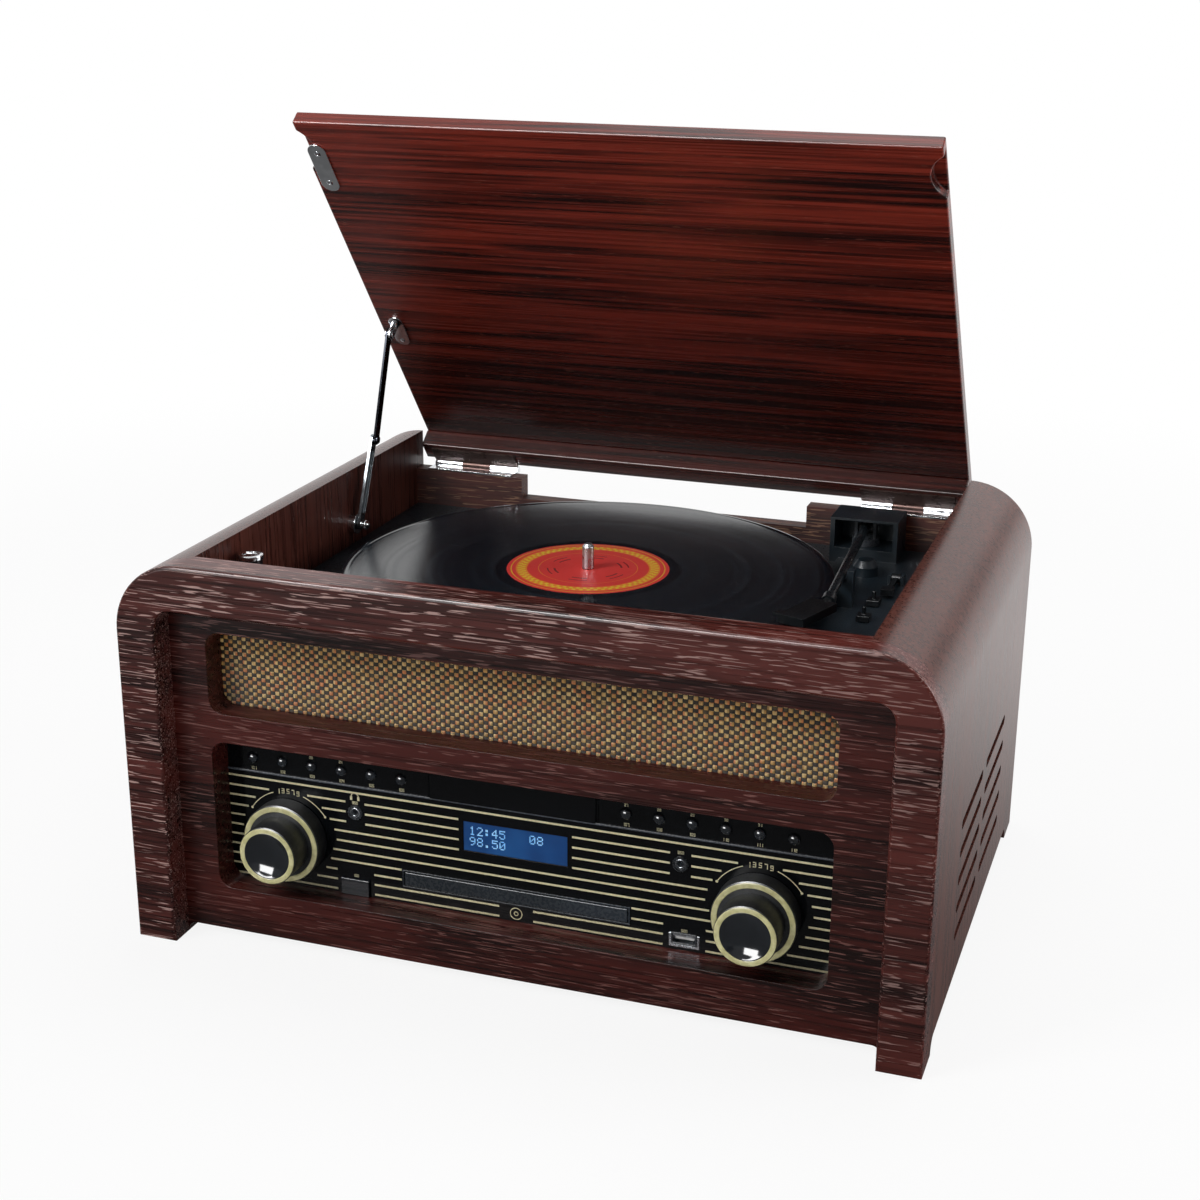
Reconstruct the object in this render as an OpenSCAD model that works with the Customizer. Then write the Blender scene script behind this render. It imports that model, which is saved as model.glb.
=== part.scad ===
// A stereo music centre in a wooden cabinet: a record deck under a lid,
// a cloth grille, and a black control panel with dials, buttons and a disc drawer.
// Millimetres, +X to the right as seen from the front, +Y to the back, +Z up.
// The origin is on the ground, under the middle of the object with its lid open.

/* [Cabinet] */
// Width over the two sides
cab_w = 474; // [440:1:520]
// Depth from the front frame to the back panel
cab_d = 340; // [336:1:400]
// Height to the flat top of the front rail
cab_h = 238; // [230:1:280]
// Radius of the rounded shoulders, which is also how far the lid sits in
shoulder_r = 42; // [36:1:50]
// Thickness of the side boards
side_t = 15; // [12:0.5:18]
// Height of the solid shoulder block inside each side
shoulder_block = 78; // [70:1:90]
// Thickness of the front frame, and how far its posts stand proud of the panel
frame_t = 16.5; // [12:0.5:20]
// Width of each front post
post_w = 25; // [20:1:32]
// Height of the front frame's top rail
rail_h = 28; // [25:1:36]
// Radius at the top corners inside the frame
portal_r = 10; // [6:1:16]
// Thickness of the recessed front panel
panel_t = 18; // [15:0.5:20]
// Thickness of the panel's tongue, above the thick part
tongue_t = 5; // [4:0.5:6]
// Distance from the cabinet's top down to the thick part's ledge
ledge_down = 39; // [37:0.5:42]
// Height of the front panel's bottom edge, and radius of its bracket curves
panel_gap = 6; // [5:0.5:8]
// Thickness of the back panel
back_t = 12; // [9:0.5:15]
// Thickness of the base panel
base_t = 12; // [9:0.5:15]
// Height of the base panel's underside
base_z = 8; // [7:0.5:10]
// Length of the bracket feet along the sides
foot_len = 27; // [22:1:40]
// Height of the arch between the bracket feet
foot_h = 9; // [8:0.5:11]
// Width of a deck cleat
cleat_w = 14; // [10:1:18]
// Height of a deck cleat
cleat_h = 14; // [10:1:18]

/* [Side slots] */
// Length of a speaker slot
slot_l = 78; // [60:1:84]
// Width of a speaker slot
slot_w = 6; // [4:0.5:8]
// Pitch of the slots
slot_pitch = 17.3; // [15:0.1:19]
// Slots in one column
slot_rows = 5; // [3:1:5]
// Height of the lowest slot
slot_z = 38; // [34:1:44]
// Gap between the two columns
slot_gap = 13; // [10:1:20]
// Distance of the gap's middle from the cabinet's front
slot_y = 176.5; // [170:0.5:186]

/* [Windows] */
// Distance from the left post to the windows
window_left_in = 23; // [18:0.5:30]
// Distance from the right post to the windows
window_right_in = 31; // [24:0.5:36]
// Radius of the windows' corners
window_r = 9; // [5:1:14]
// Distance from the panel's ledge down to the grille window
grille_down = 4; // [3:0.5:8]
// Height of the grille window
grille_h = 50; // [40:1:54]
// Height of the panel between the windows
window_gap = 17.5; // [17:0.5:24]
// Height of the control window's lower edge
control_z = 33.5; // [30:0.5:36]
// Thickness of the grille cloth
cloth_t = 1; // [0.6:0.1:1.5]
// Thickness of the grille board
grille_board_t = 6; // [4:0.5:9]
// Thickness of the control fascia
fascia_t = 3; // [2.5:0.5:4]

/* [Controls] */
// Distance of the buttons under the control window's top
button_down = 15.1; // [12:0.1:18]
// Pitch of the buttons
button_pitch = 19.1; // [16:0.1:21]
// Buttons in each row
button_count = 6; // [6:1:6]
// Diameter of a button
button_d = 6.6; // [5:0.1:9]
// How far a button stands out of the fascia
button_proud = 2.4; // [2:0.1:4]
// Travel of a button
button_travel = 1.5; // [1:0.1:1.8]
// Distance of the outer button of the left row from the window's left edge
button_left_in = 16.9; // [14:0.1:20]
// Distance of the outer button of the right row from the window's right edge
button_right_in = 25.5; // [20:0.1:28]
// Height of the two dials above the control window's lower edge
dial_up = 31.2; // [26:0.1:34]
// Distance of the volume dial from the window's left edge
volume_in = 39; // [34:0.5:42]
// Distance of the tuning dial from the window's right edge
tuning_in = 43.7; // [40:0.1:48]
// Distance of the two jacks under the buttons
jack_down = 25.6; // [24:0.1:28]
// Diameter of a dial's skirt
dial_d = 49; // [44:0.5:52]
// Diameter of a dial's front tier
dial_tier_d = 36; // [30:0.5:40]
// How far a dial stands out of the fascia
dial_proud = 29.7; // [20:0.1:31]
// Thickness of a dial's skirt
dial_skirt_t = 12.2; // [8:0.1:14]
// Diameter of a dial's shaft
shaft_d = 6; // [5:0.5:7]
// Width of the power button
power_w = 17.6; // [14:0.2:22]
// Height of the power button
power_h = 10.2; // [8:0.2:12]
// Width of the display window
display_w = 63.5; // [56:0.5:70]
// Height of the display window
display_h = 18.5; // [14:0.5:21]
// Width of the disc drawer's front
drawer_w = 137; // [134:0.5:144]
// Height of the disc drawer's front
drawer_h = 8.3; // [8:0.1:10]
// Length of the disc tray
tray_l = 136; // [132:1:145]
// Diameter of the disc recess in the tray
disc_d = 121; // [121:0.5:123]

/* [Lid] */
// Thickness of the lid board
lid_t = 9; // [8:0.5:12]
// Gap between the lid and the cabinet beside it
lid_gap = 2; // [1.5:0.1:3]
// Width of the finger slot between the closed lid and the front rail
lid_slot = 8; // [2:0.5:9]
// Angle by which the lid is open
lid_open = 51; // [40:1:60]
// Width of the lid batten
batten_w = 15; // [12:0.5:20]
// Depth of the blind finger recess from the lid's edge
recess_in = 8; // [6:0.5:10]
// Length of the finger recess along the lid's edge
recess_l = 31; // [24:1:34]
// Depth of the finger recess in the board
recess_t = 6; // [4:0.5:7]
// Height from the back panel's hinge posts to the cabinet's top
hinge_drop = 25; // [23:0.5:28]
// Length of a hinge
hinge_l = 63; // [50:1:70]
// Distance of a hinge's outer end from the lid's edge
hinge_edge = 7; // [4:0.5:12]
// Distance from the left hinge to the end of the back panel's left post
post_left_past = 8; // [4:1:14]
// Distance from the right hinge to the end of the back panel's right post
post_right_past = 34; // [10:1:40]
// Distance from the cabinet's top down to the notch between the posts
notch_down = 39.5; // [36:0.5:42]
// Thickness of a hinge leaf
leaf_t = 1.2; // [1:0.1:1.5]
// Radius of a hinge knuckle
knuckle_r = 3; // [2.5:0.1:3.5]
// Radius of a hinge pin
hinge_pin_r = 1.2; // [1:0.1:1.5]

/* [Turntable] */
// Depth of the deck's top under the cabinet's top
deck_down = 50; // [48:0.5:52]
// Thickness of the deck
deck_t = 8; // [6:0.5:10]
// Distance of the spindle from the middle line, to the left
spindle_x = 12; // [8:0.5:16]
// Diameter of the record
record_d = 301.6; // [300:0.1:302]
// Thickness of the record
record_t = 2; // [1.5:0.1:2.5]
// Diameter of the record's label
label_d = 100; // [96:1:102]
// Thickness of the slip mat
mat_t = 3; // [2:0.5:4]
// Diameter of the slip mat
mat_d = 294; // [280:1:296]
// Diameter of the platter
platter_d = 200; // [190:1:220]
// Height of the platter's top above the deck
platter_top = 12; // [11:0.5:14]
// Diameter of the spindle's free end, which takes a record
spindle_d = 7.2; // [7.1:0.05:7.24]
// Diameter of the spindle's shaft under it
bearing_d = 6; // [5:0.1:6.4]
// Height of the spindle above the record
spindle_up = 16; // [14:0.5:18]
// Radius of the belt track under the platter
track_r = 70; // [66:1:74]
// Distance of the motor pulley from the spindle
pulley_away = 84; // [82:1:86]
// Radius of the motor pulley
pulley_r = 5; // [4:0.5:6]

/* [Tonearm] */
// Distance of the arm's pivot from the middle line, to the right
pivot_x = 134; // [130:0.5:138]
// Distance of the arm's pivot from the cabinet's front
pivot_y = 306; // [300:0.5:308]
// Height of the arm's axis above the deck
arm_up = 22.5; // [21:0.5:24]
// Angle of the parked arm, outwards from straight ahead
arm_park = 3.7; // [2:0.1:6]
// Length from the arm's pivot to the end of its tube
arm_l = 161; // [156:1:163]
// Distance from the arm's pivot to the housing's left side
housing_left = 21; // [18:0.5:24]
// Distance from the arm's pivot to the housing's right side
housing_right = 23; // [18:0.5:26]
// Distance from the arm's pivot to the housing's open front
housing_front = 13; // [10:0.5:16]
// Distance of the arm's rest from the cabinet's front
rest_from_front = 198; // [190:1:206]
// Offset angle of the headshell
shell_angle = 22; // [15:1:25]
// Diameter of the arm tube
tube_d = 5.6; // [4:0.2:7]
// Length of the headshell
shell_l = 40; // [34:1:46]
// Width of the headshell
shell_w = 17; // [12:0.5:20]

/* [Stay] */
// Distance of the stay's wall pivot from the cabinet's front
stud_y = 221; // [214:1:226]
// Height of the wall pivot above the deck
stud_up = 14; // [12:0.5:16]
// Distance of the stay's lid pivot from the cabinet's front
stay_pin_y = 214; // [212:1:216]
// Depth of the lid pivot under the lid
stay_pin_drop = 5; // [4.5:0.1:6]
// Length of the lower arm between its pivots
stay_lower_l = 57.5; // [57:0.5:59]
// Length of the upper arm between its pivots
stay_upper_l = 71; // [70:0.1:74]
// Width of the stay's arms
stay_w = 7; // [6:0.5:8]
// Thickness of the stay's upper arm
stay_t = 1.5; // [1.2:0.1:2]

/* [Hidden] */
$fn = 64;
eps = 0.01;
clear = 0.3;
run = 0.05;
fit = 0.02;
half_w = cab_w / 2;
inner_x = half_w - side_t;
well_x = half_w - shoulder_r;
block_z = cab_h - shoulder_block;
rail_back_t = frame_t + tongue_t;
rail_back_h = 23;
ledge_z = cab_h - ledge_down;
deck_z = cab_h - deck_down;
post_top = cab_h - hinge_drop;
hinge_z = post_top + leaf_t + clear;
hinge_in = knuckle_r + clear;
lid_front = rail_back_t + lid_slot;
lid_w = 2 * (well_x - lid_gap);
under_z = cab_h - lid_t;
leaf_z = hinge_z + clear;
// How far the lid's rear edge swings behind the cabinet when it is open
lid_reach = hinge_in * (1 - cos(lid_open)) + (cab_h - hinge_z) * sin(lid_open);
yf = -(cab_d + lid_reach) / 2;
yb = yf + cab_d;
hinge_y = yb + hinge_in;
panel_y = yf + frame_t;
plate_y = panel_y + panel_t;
grille_back = plate_y + cloth_t + grille_board_t;
deck_y0 = grille_back + 0.5;
deck_y1 = yb - back_t;
well_y0 = yf + rail_back_t;
spindle_y = (well_y0 + deck_y1) / 2;
platter_z = deck_z + platter_top;
record_z = platter_z + mat_t;
record_top = record_z + record_t;
window_w = cab_w - 2 * post_w - window_left_in - window_right_in;
window_x = (window_left_in - window_right_in) / 2;
window_l = window_x - window_w / 2;
window_e = window_x + window_w / 2;
grille_z = ledge_z - grille_down - grille_h;
control_h = grille_z - window_gap - control_z;
button_z = control_z + control_h - button_down;
dial_z = control_z + dial_up;
volume_x = window_l + volume_in;
tuning_x = window_e - tuning_in;
hinge_out = lid_w / 2 - hinge_edge;
fascia_w = window_w + 16;
fascia_z0 = control_z - 8;
fascia_h = control_h + 16;
fascia_back = plate_y + fascia_t;
board_y = plate_y + 18;
board_t = 1.6;
mech_w = drawer_w + 15;
display_x = window_x - 2.5;
display_z = control_z + 49.5;
drawer_x = window_x - 3;
drawer_z = control_z + 15.9;
power_x = drawer_x - mech_w / 2 - 24.5;
power_z = control_z + 5.3;
phones_x = power_x + 1;
usb_x = drawer_x + mech_w / 2 + 26;
line_in_x = usb_x - 3;
jack_z = button_z - jack_down;
jack_r = 1.78;
usb_z = control_z + 6;
usb_w = 18;
usb_h = 8.3;
mech_z0 = 27;
mech_h = 38;
mech_l = 172;
mech_y = fascia_back + 0.5;
notch_l = -(hinge_out - hinge_l - post_left_past);
notch_r = hinge_out - hinge_l - post_right_past;
notch_z = cab_h - notch_down;
arm_z = deck_z + arm_up;
arm_y = yf + pivot_y;
track_h = 7.5;
track_w = 4;
pulley_a = 150;
pulley_x = -spindle_x + pulley_away * cos(pulley_a);
pulley_y = spindle_y + pulley_away * sin(pulley_a);
switch_x = pivot_x + 26;
speed_y = yf + 205;
stop_y = yf + 175;
switch_travel = 8;
cue_x = pivot_x + 31;
cue_y = yf + 252;
boss_h = 24;
catch_x = -(well_x - 10.7);
catch_y = yf + 66;
catch_r = 7.5;
strike_l = 38;
strike_w = 12;
strike_t = 1;
bracket_l = 27;
bracket_w = 10;
bracket_t = 1.5;
stay_lug_t = 1.5;
lower_x = -(well_x - 7.5);
lower_t = 2;
stay_x = lower_x + clear;
speaker_r = 43;
speaker_z = slot_z + 2 * slot_pitch;
speaker_depth = 38;
magnet_r = 26;
screw_r = 1.75;
screw_head_r = 3.6;
supply_x = -(inner_x - 72);
supply_y = yb - back_t - 84;
inlet_x = inner_x - 54;
inlet_z = base_z + base_t + 22;
inlet_w = 28;
inlet_h = 22;
socket_z = inlet_z;
aerial_x = -(inner_x - 72);
line_out_x = -(inner_x - 112);
base_top = base_z + base_t;

function turned(p, a) = [p[0] * cos(a) - p[1] * sin(a), p[0] * sin(a) + p[1] * cos(a)];
function from_closed(y, z) = [hinge_y, hinge_z] + turned([y - hinge_y, z - hinge_z], -lid_open);
function meet(p, q, a, b) =
    let (d = norm(q - p), u = (q - p) / d, k = (a * a - b * b + d * d) / (2 * d))
    p + k * u + sqrt(max(0, a * a - k * k)) * [u[1], -u[0]];
stud = [yf + stud_y, deck_z + stud_up];
stay_pin = from_closed(yf + stay_pin_y, under_z - stay_pin_drop);
stay_mid = meet(stud, stay_pin, stay_lower_l, stay_upper_l);

function left_x(i) = window_l + button_left_in + i * button_pitch;
function right_x(i) = window_e - button_right_in - (button_count - 1 - i) * button_pitch;

wood = "#5a2b26";
dark_wood = "#3d1f1c";
black = "#17181a";
steel = "#c9ccd0";

// Draws a flat outline in X and Z, and gives it a thickness towards the back
module facing(y, t) {
    translate([0, y + t, 0]) rotate([90, 0, 0]) linear_extrude(t) children();
}

// Draws a flat outline in Y and Z, and gives it a thickness towards the right
module sideways(x, t) {
    translate([x, 0, 0]) rotate([90, 0, 90]) linear_extrude(t) children();
}

// A round bar along Y, from y0 to y1
module bar_y(x, z, y0, y1, r) {
    translate([x, y0, z]) rotate([-90, 0, 0]) cylinder(h = y1 - y0, r = r);
}

// A round bar along X, from x0 to x1
module bar_x(x0, x1, y, z, r) {
    translate([x0, y, z]) rotate([0, 90, 0]) cylinder(h = x1 - x0, r = r);
}

module box(x0, x1, y0, y1, z0, z1) {
    translate([x0, y0, z0]) cube([x1 - x0, y1 - y0, z1 - z0]);
}

module rounded(w, h, r) {
    square([w - 2 * r, h], center = true);
    square([w, h - 2 * r], center = true);
    for (sx = [-1, 1], sy = [-1, 1]) translate([sx * (w / 2 - r), sy * (h / 2 - r)]) circle(r);
}

module stadium(l, w) {
    square([l - w, w], center = true);
    for (s = [-1, 1]) translate([s * (l - w) / 2, 0]) circle(w / 2);
}

// Turns what is drawn for the closed lid into the open lid's place
module on_lid() {
    translate([0, hinge_y, hinge_z]) rotate([-lid_open, 0, 0]) translate([0, -hinge_y, -hinge_z]) children();
}

// An opening with a flat floor line and two rounded upper corners
module arch(x0, x1, top, r) {
    translate([x0, -1]) square([x1 - x0, top + 1 - r]);
    translate([x0 + r, -1]) square([x1 - x0 - 2 * r, top + 1]);
    for (x = [x0 + r, x1 - r]) translate([x, top - r]) circle(r);
}

module screw_axes() {
    for (k = [-1, -0.35, 0.35, 1]) translate([k * (inner_x - 22), 0, base_z + base_t / 2]) children();
    for (s = [-1, 1]) translate([s * (well_x - cleat_w / 2), 0, deck_z - deck_t - cleat_h / 2]) children();
}

module screw_holes() {
    screw_axes() bar_y(0, 0, yb - back_t - 14 - fit, yb + 1, screw_r + fit);
}

module side() {
    difference() {
        facing(panel_y, cab_d - frame_t) {
            translate([inner_x, 0]) square([side_t, cab_h - shoulder_r]);
            translate([well_x, block_z]) square([shoulder_r, shoulder_block - shoulder_r]);
            intersection() {
                translate([well_x, cab_h - shoulder_r]) circle(shoulder_r);
                translate([well_x, cab_h - shoulder_r]) square(shoulder_r);
            }
        }
        box(0, inner_x, yf, plate_y, 0, ledge_z);
        box(0, inner_x, yf, panel_y + tongue_t, 0, cab_h - rail_back_h);
        sideways(inner_x - 1, side_t + 2) arch(yf + foot_len, yb - foot_len, foot_h, foot_h - 1);
        for (c = [-1, 1], i = [0 : slot_rows - 1])
            sideways(inner_x - 1, side_t + 2)
                translate([yf + slot_y + c * (slot_gap + slot_l) / 2, slot_z + i * slot_pitch])
                    stadium(slot_l, slot_w);
    }
}

module right_side() {
    color(wood) side();
}

module left_side() {
    color(wood) mirror([1, 0, 0]) side();
}

module front_frame() {
    color(wood) {
        facing(yf, frame_t) difference() {
            union() {
                translate([-half_w, 0]) square([cab_w, cab_h - shoulder_r]);
                translate([-well_x, 0]) square([2 * well_x, cab_h]);
                for (s = [-1, 1]) translate([s * well_x, cab_h - shoulder_r]) circle(shoulder_r);
            }
            arch(-(half_w - post_w), half_w - post_w, cab_h - rail_h, portal_r);
        }
        box(-well_x, well_x, yf + frame_t, yf + rail_back_t, cab_h - rail_back_h, cab_h);
    }
}

module window_outline(z0, h) {
    translate([window_x, z0 + h / 2]) rounded(window_w, h, window_r);
}

module front_panel() {
    color(wood) {
        facing(panel_y, panel_t) difference() {
            translate([-inner_x, 0]) square([2 * inner_x, ledge_z]);
            arch(-(half_w - post_w), half_w - post_w, panel_gap, panel_gap - 0.5);
            window_outline(grille_z, grille_h);
            window_outline(control_z, control_h);
        }
        box(-inner_x, inner_x, panel_y, panel_y + tongue_t, ledge_z - eps, cab_h - rail_back_h);
    }
}

module back_panel() {
    color(dark_wood) difference() {
        facing(yb - back_t, back_t) difference() {
            union() {
                translate([-inner_x, base_z]) square([2 * inner_x, block_z - base_z]);
                translate([-well_x, base_z]) square([2 * well_x, post_top - base_z]);
            }
            translate([notch_l, notch_z]) square([notch_r - notch_l, cab_h]);
            for (i = [-4 : 4]) translate([i * 16, 120]) rotate(90) stadium(40, 5);
            translate([inlet_x, inlet_z]) square([22, 16], center = true);
            translate([aerial_x, socket_z]) circle(5 + fit);
            for (s = [-1, 1]) translate([line_out_x + 8 * s, socket_z]) circle(4.15 + fit);
        }
        screw_holes();
    }
}

module base_panel() {
    color(dark_wood) difference() {
        box(-inner_x, inner_x, plate_y, yb - back_t, base_z, base_top);
        screw_holes();
    }
}

module deck_cleats() {
    color(dark_wood) difference() {
        for (s = [-1, 1]) {
            x = s * (well_x - cleat_w / 2);
            box(x - cleat_w / 2, x + cleat_w / 2, deck_y0, deck_y1, deck_z - deck_t - cleat_h, deck_z - deck_t);
        }
        screw_holes();
    }
}

module lid_board() {
    edge = lid_w / 2;
    grip_r = (recess_l * recess_l / 4 + recess_in * recess_in) / (2 * recess_in);
    color(wood) on_lid() difference() {
        box(-edge, edge, yf + lid_front, yb, under_z, cab_h);
        for (s = [-1, 1])
            translate([s * (edge + grip_r - recess_in), yf + lid_front + recess_l / 2 + 7, under_z - 1])
                cylinder(h = recess_t + 1, r = grip_r);
    }
}

module lid_batten() {
    color(wood) on_lid() box(-lid_w / 2, lid_w / 2, yb - batten_w, yb, leaf_z + leaf_t, under_z);
}

// One leaf, its underside at z0, with those of the hinge's three knuckles that belong to it
module leaf(x0, z0, parts) {
    knuckle = hinge_l / 3;
    box(x0, x0 + hinge_l, yb - back_t, hinge_y - knuckle_r - clear, z0, z0 + leaf_t);
    for (i = parts) {
        xk = x0 + i * knuckle + clear / 2;
        box(xk, xk + knuckle - clear, yb - back_t, hinge_y, z0, z0 + leaf_t);
        bar_x(xk, xk + knuckle - clear, hinge_y, hinge_z, knuckle_r);
    }
}

module hinge_lower_leaves() {
    color(steel) for (x0 = [-hinge_out, hinge_out - hinge_l]) {
        leaf(x0, post_top, [0, 2]);
        bar_x(x0 + clear, x0 + hinge_l - clear, hinge_y, hinge_z, hinge_pin_r);
    }
}

module hinge_upper_leaves() {
    color(steel) on_lid() for (x0 = [-hinge_out, hinge_out - hinge_l]) difference() {
        leaf(x0, leaf_z, [1]);
        bar_x(x0 - 1, x0 + hinge_l + 1, hinge_y, hinge_z, hinge_pin_r + run);
    }
}

// A flat bar between two points in the Y and Z plane, with round ends
module link(p, q, w) {
    d = q - p;
    translate(p) rotate(atan2(d[1], d[0])) {
        translate([0, -w / 2]) square([norm(d), w]);
        for (u = [0, norm(d)]) translate([u, 0]) circle(w / 2);
    }
}

module stay_lid_bracket() {
    y = yf + stay_pin_y;
    z = under_z - stay_pin_drop;
    color(steel) on_lid() {
        translate([stay_x + stay_t + clear + bracket_w / 2, y + 1, under_z - bracket_t])
            rotate(90) linear_extrude(bracket_t) stadium(bracket_l, bracket_w);
        box(stay_x + stay_t + clear, stay_x + stay_t + clear + stay_lug_t, y - 4, y + 4, z, under_z);
        bar_x(stay_x + stay_t + clear, stay_x + stay_t + clear + stay_lug_t, y, z, 4);
        bar_x(stay_x - clear, stay_x + stay_t + clear + stay_lug_t / 2, y, z, 1.5);
        bar_x(stay_x - clear - 0.8, stay_x - clear, y, z, 2.8);
    }
}

module stay_upper_arm() {
    color(steel) {
        difference() {
            sideways(stay_x, stay_t) link(stay_mid, stay_pin, stay_w);
            bar_x(stay_x - 1, stay_x + stay_t + 1, stay_pin[0], stay_pin[1], 1.5 + run);
        }
        bar_x(stay_x + stay_t / 2, stay_x + stay_t + 1.2, stay_mid[0], stay_mid[1], 2.6);
    }
}

module stay_lower_arm() {
    wall = 0.8;
    color(steel) difference() {
        sideways(lower_x - lower_t, lower_t) link(stud, stay_mid, stay_w);
        bar_x(lower_x - lower_t - 1, lower_x + 1, stud[0], stud[1], 2 + run);
        sideways(lower_x - lower_t + wall, lower_t)
            link(stud + (stay_mid - stud) * 0.16, stud + (stay_mid - stud) * 0.86, stay_w - 2 * wall);
    }
}

module stay_wall_stud() {
    color(steel) {
        bar_x(-well_x, lower_x - lower_t - clear, stud[0], stud[1], 6.5);
        bar_x(-well_x, lower_x + clear + 0.8, stud[0], stud[1], 2);
        bar_x(lower_x + clear, lower_x + clear + 0.8, stud[0], stud[1], 3.2);
    }
}

module lid_catch() {
    cap_t = 3;
    cap_z = under_z - strike_t - clear - cap_t;
    color(black) translate([catch_x, catch_y, deck_z]) cylinder(h = cap_z - deck_z, r = catch_r - 0.7);
    color(steel) translate([catch_x, catch_y, cap_z]) cylinder(h = cap_t, r = catch_r);
}

module strike_plate() {
    color(steel) on_lid() translate([catch_x, catch_y, under_z - strike_t])
        rotate(90) linear_extrude(strike_t) stadium(strike_l, strike_w);
}

// The two slots that the switches' stems slide in
module switch_slots(z0, z1) {
    for (y = [speed_y, stop_y]) box(switch_x - 1.7, switch_x + 1.7, y - 3, y + switch_travel + 5, z0, z1);
}

module turntable_deck() {
    color(black) difference() {
        union() {
            box(-(well_x - clear), well_x - clear, deck_y0, deck_y1 - clear, deck_z - deck_t, deck_z);
            translate([-spindle_x, spindle_y, deck_z - deck_t - boss_h]) cylinder(h = boss_h + 1, r = 9);
        }
        translate([-spindle_x, spindle_y, deck_z - 2]) cylinder(h = 3, r = platter_d / 2 + 3);
        translate([-spindle_x, spindle_y, deck_z - deck_t - boss_h + 4])
            cylinder(h = boss_h + deck_t, r = bearing_d / 2 + run);
        translate([pulley_x, pulley_y, deck_z - deck_t - 1]) cylinder(h = deck_t + 2, r = pulley_r + 2);
        switch_slots(deck_z - deck_t - 1, deck_z + 1);
    }
}

module platter() {
    z0 = deck_z - 1.4;
    top = platter_z;
    color("#2b2d30") translate([-spindle_x, spindle_y, 0]) rotate_extrude($fn = 96) polygon([
        [bearing_d / 2 + fit, z0], [12, z0], [12, top - 3],
        [track_r - track_w, top - 3], [track_r - track_w, z0], [track_r, z0], [track_r, top - 3],
        [platter_d / 2 - 4, top - 3], [platter_d / 2 - 4, z0],
        [platter_d / 2, z0], [platter_d / 2, top], [bearing_d / 2 + fit, top]
    ]);
}

module slip_mat() {
    color("#202224") translate([-spindle_x, spindle_y, platter_z]) difference() {
        cylinder(h = mat_t, r = mat_d / 2);
        translate([0, 0, -1]) cylinder(h = mat_t + 2, r = spindle_d / 2 + fit);
    }
}

module record() {
    groove = 0.3;
    color("#101114") translate([-spindle_x, spindle_y, record_z]) rotate_extrude($fn = 96) polygon([
        [spindle_d / 2 + fit, 0], [record_d / 2, 0], [record_d / 2, record_t], [record_d / 2 - 3, record_t],
        [record_d / 2 - 4, record_t - groove], [label_d / 2 + 4, record_t - groove], [label_d / 2, record_t],
        [spindle_d / 2 + fit, record_t]
    ]);
}

module spindle() {
    low = deck_z - deck_t - boss_h + 4 + clear;
    color(steel) translate([-spindle_x, spindle_y, 0]) rotate_extrude() polygon([
        [0, low], [bearing_d / 2, low],
        [bearing_d / 2, record_top + clear], [spindle_d / 2, record_top + clear],
        [spindle_d / 2, record_top + spindle_up - 2], [spindle_d / 2 - 1.6, record_top + spindle_up],
        [0, record_top + spindle_up]
    ]);
}

module turntable_motor() {
    h = 26;
    color("#8d9196") translate([pulley_x, pulley_y, deck_z - deck_t - h]) difference() {
        union() {
            cylinder(h = h - 1.5, r = 16);
            translate([0, 0, h - 1.5]) cylinder(h = 1.5, r = 20);
        }
        translate([0, 0, 4]) cylinder(h = h, r = 1 + run);
    }
}

module motor_pulley() {
    low = deck_z - deck_t - 20;
    z0 = deck_z - 1;
    color("#c9a85a") translate([pulley_x, pulley_y, 0]) rotate_extrude() polygon([
        [0, low], [1, low], [1, z0], [pulley_r + 1, z0], [pulley_r + 1, z0 + 1], [pulley_r, z0 + 1.2],
        [pulley_r, z0 + track_h - 1.2], [pulley_r + 1, z0 + track_h - 1],
        [pulley_r + 1, z0 + track_h], [0, z0 + track_h]
    ]);
}

module drive_belt() {
    belt_t = 0.8;
    belt_h = 3.6;
    color("#141414") translate([0, 0, deck_z + 0.9]) linear_extrude(belt_h) difference() {
        hull() {
            translate([-spindle_x, spindle_y]) circle(track_r + clear + belt_t, $fn = 128);
            translate([pulley_x, pulley_y]) circle(pulley_r + clear + belt_t, $fn = 48);
        }
        hull() {
            translate([-spindle_x, spindle_y]) circle(track_r + clear, $fn = 128);
            translate([pulley_x, pulley_y]) circle(pulley_r + clear, $fn = 48);
        }
    }
}

// The arm's own frame: the origin on its pivot, with the arm along -Y
module on_arm() {
    translate([pivot_x, arm_y, arm_z]) rotate(arm_park) children();
}

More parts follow.
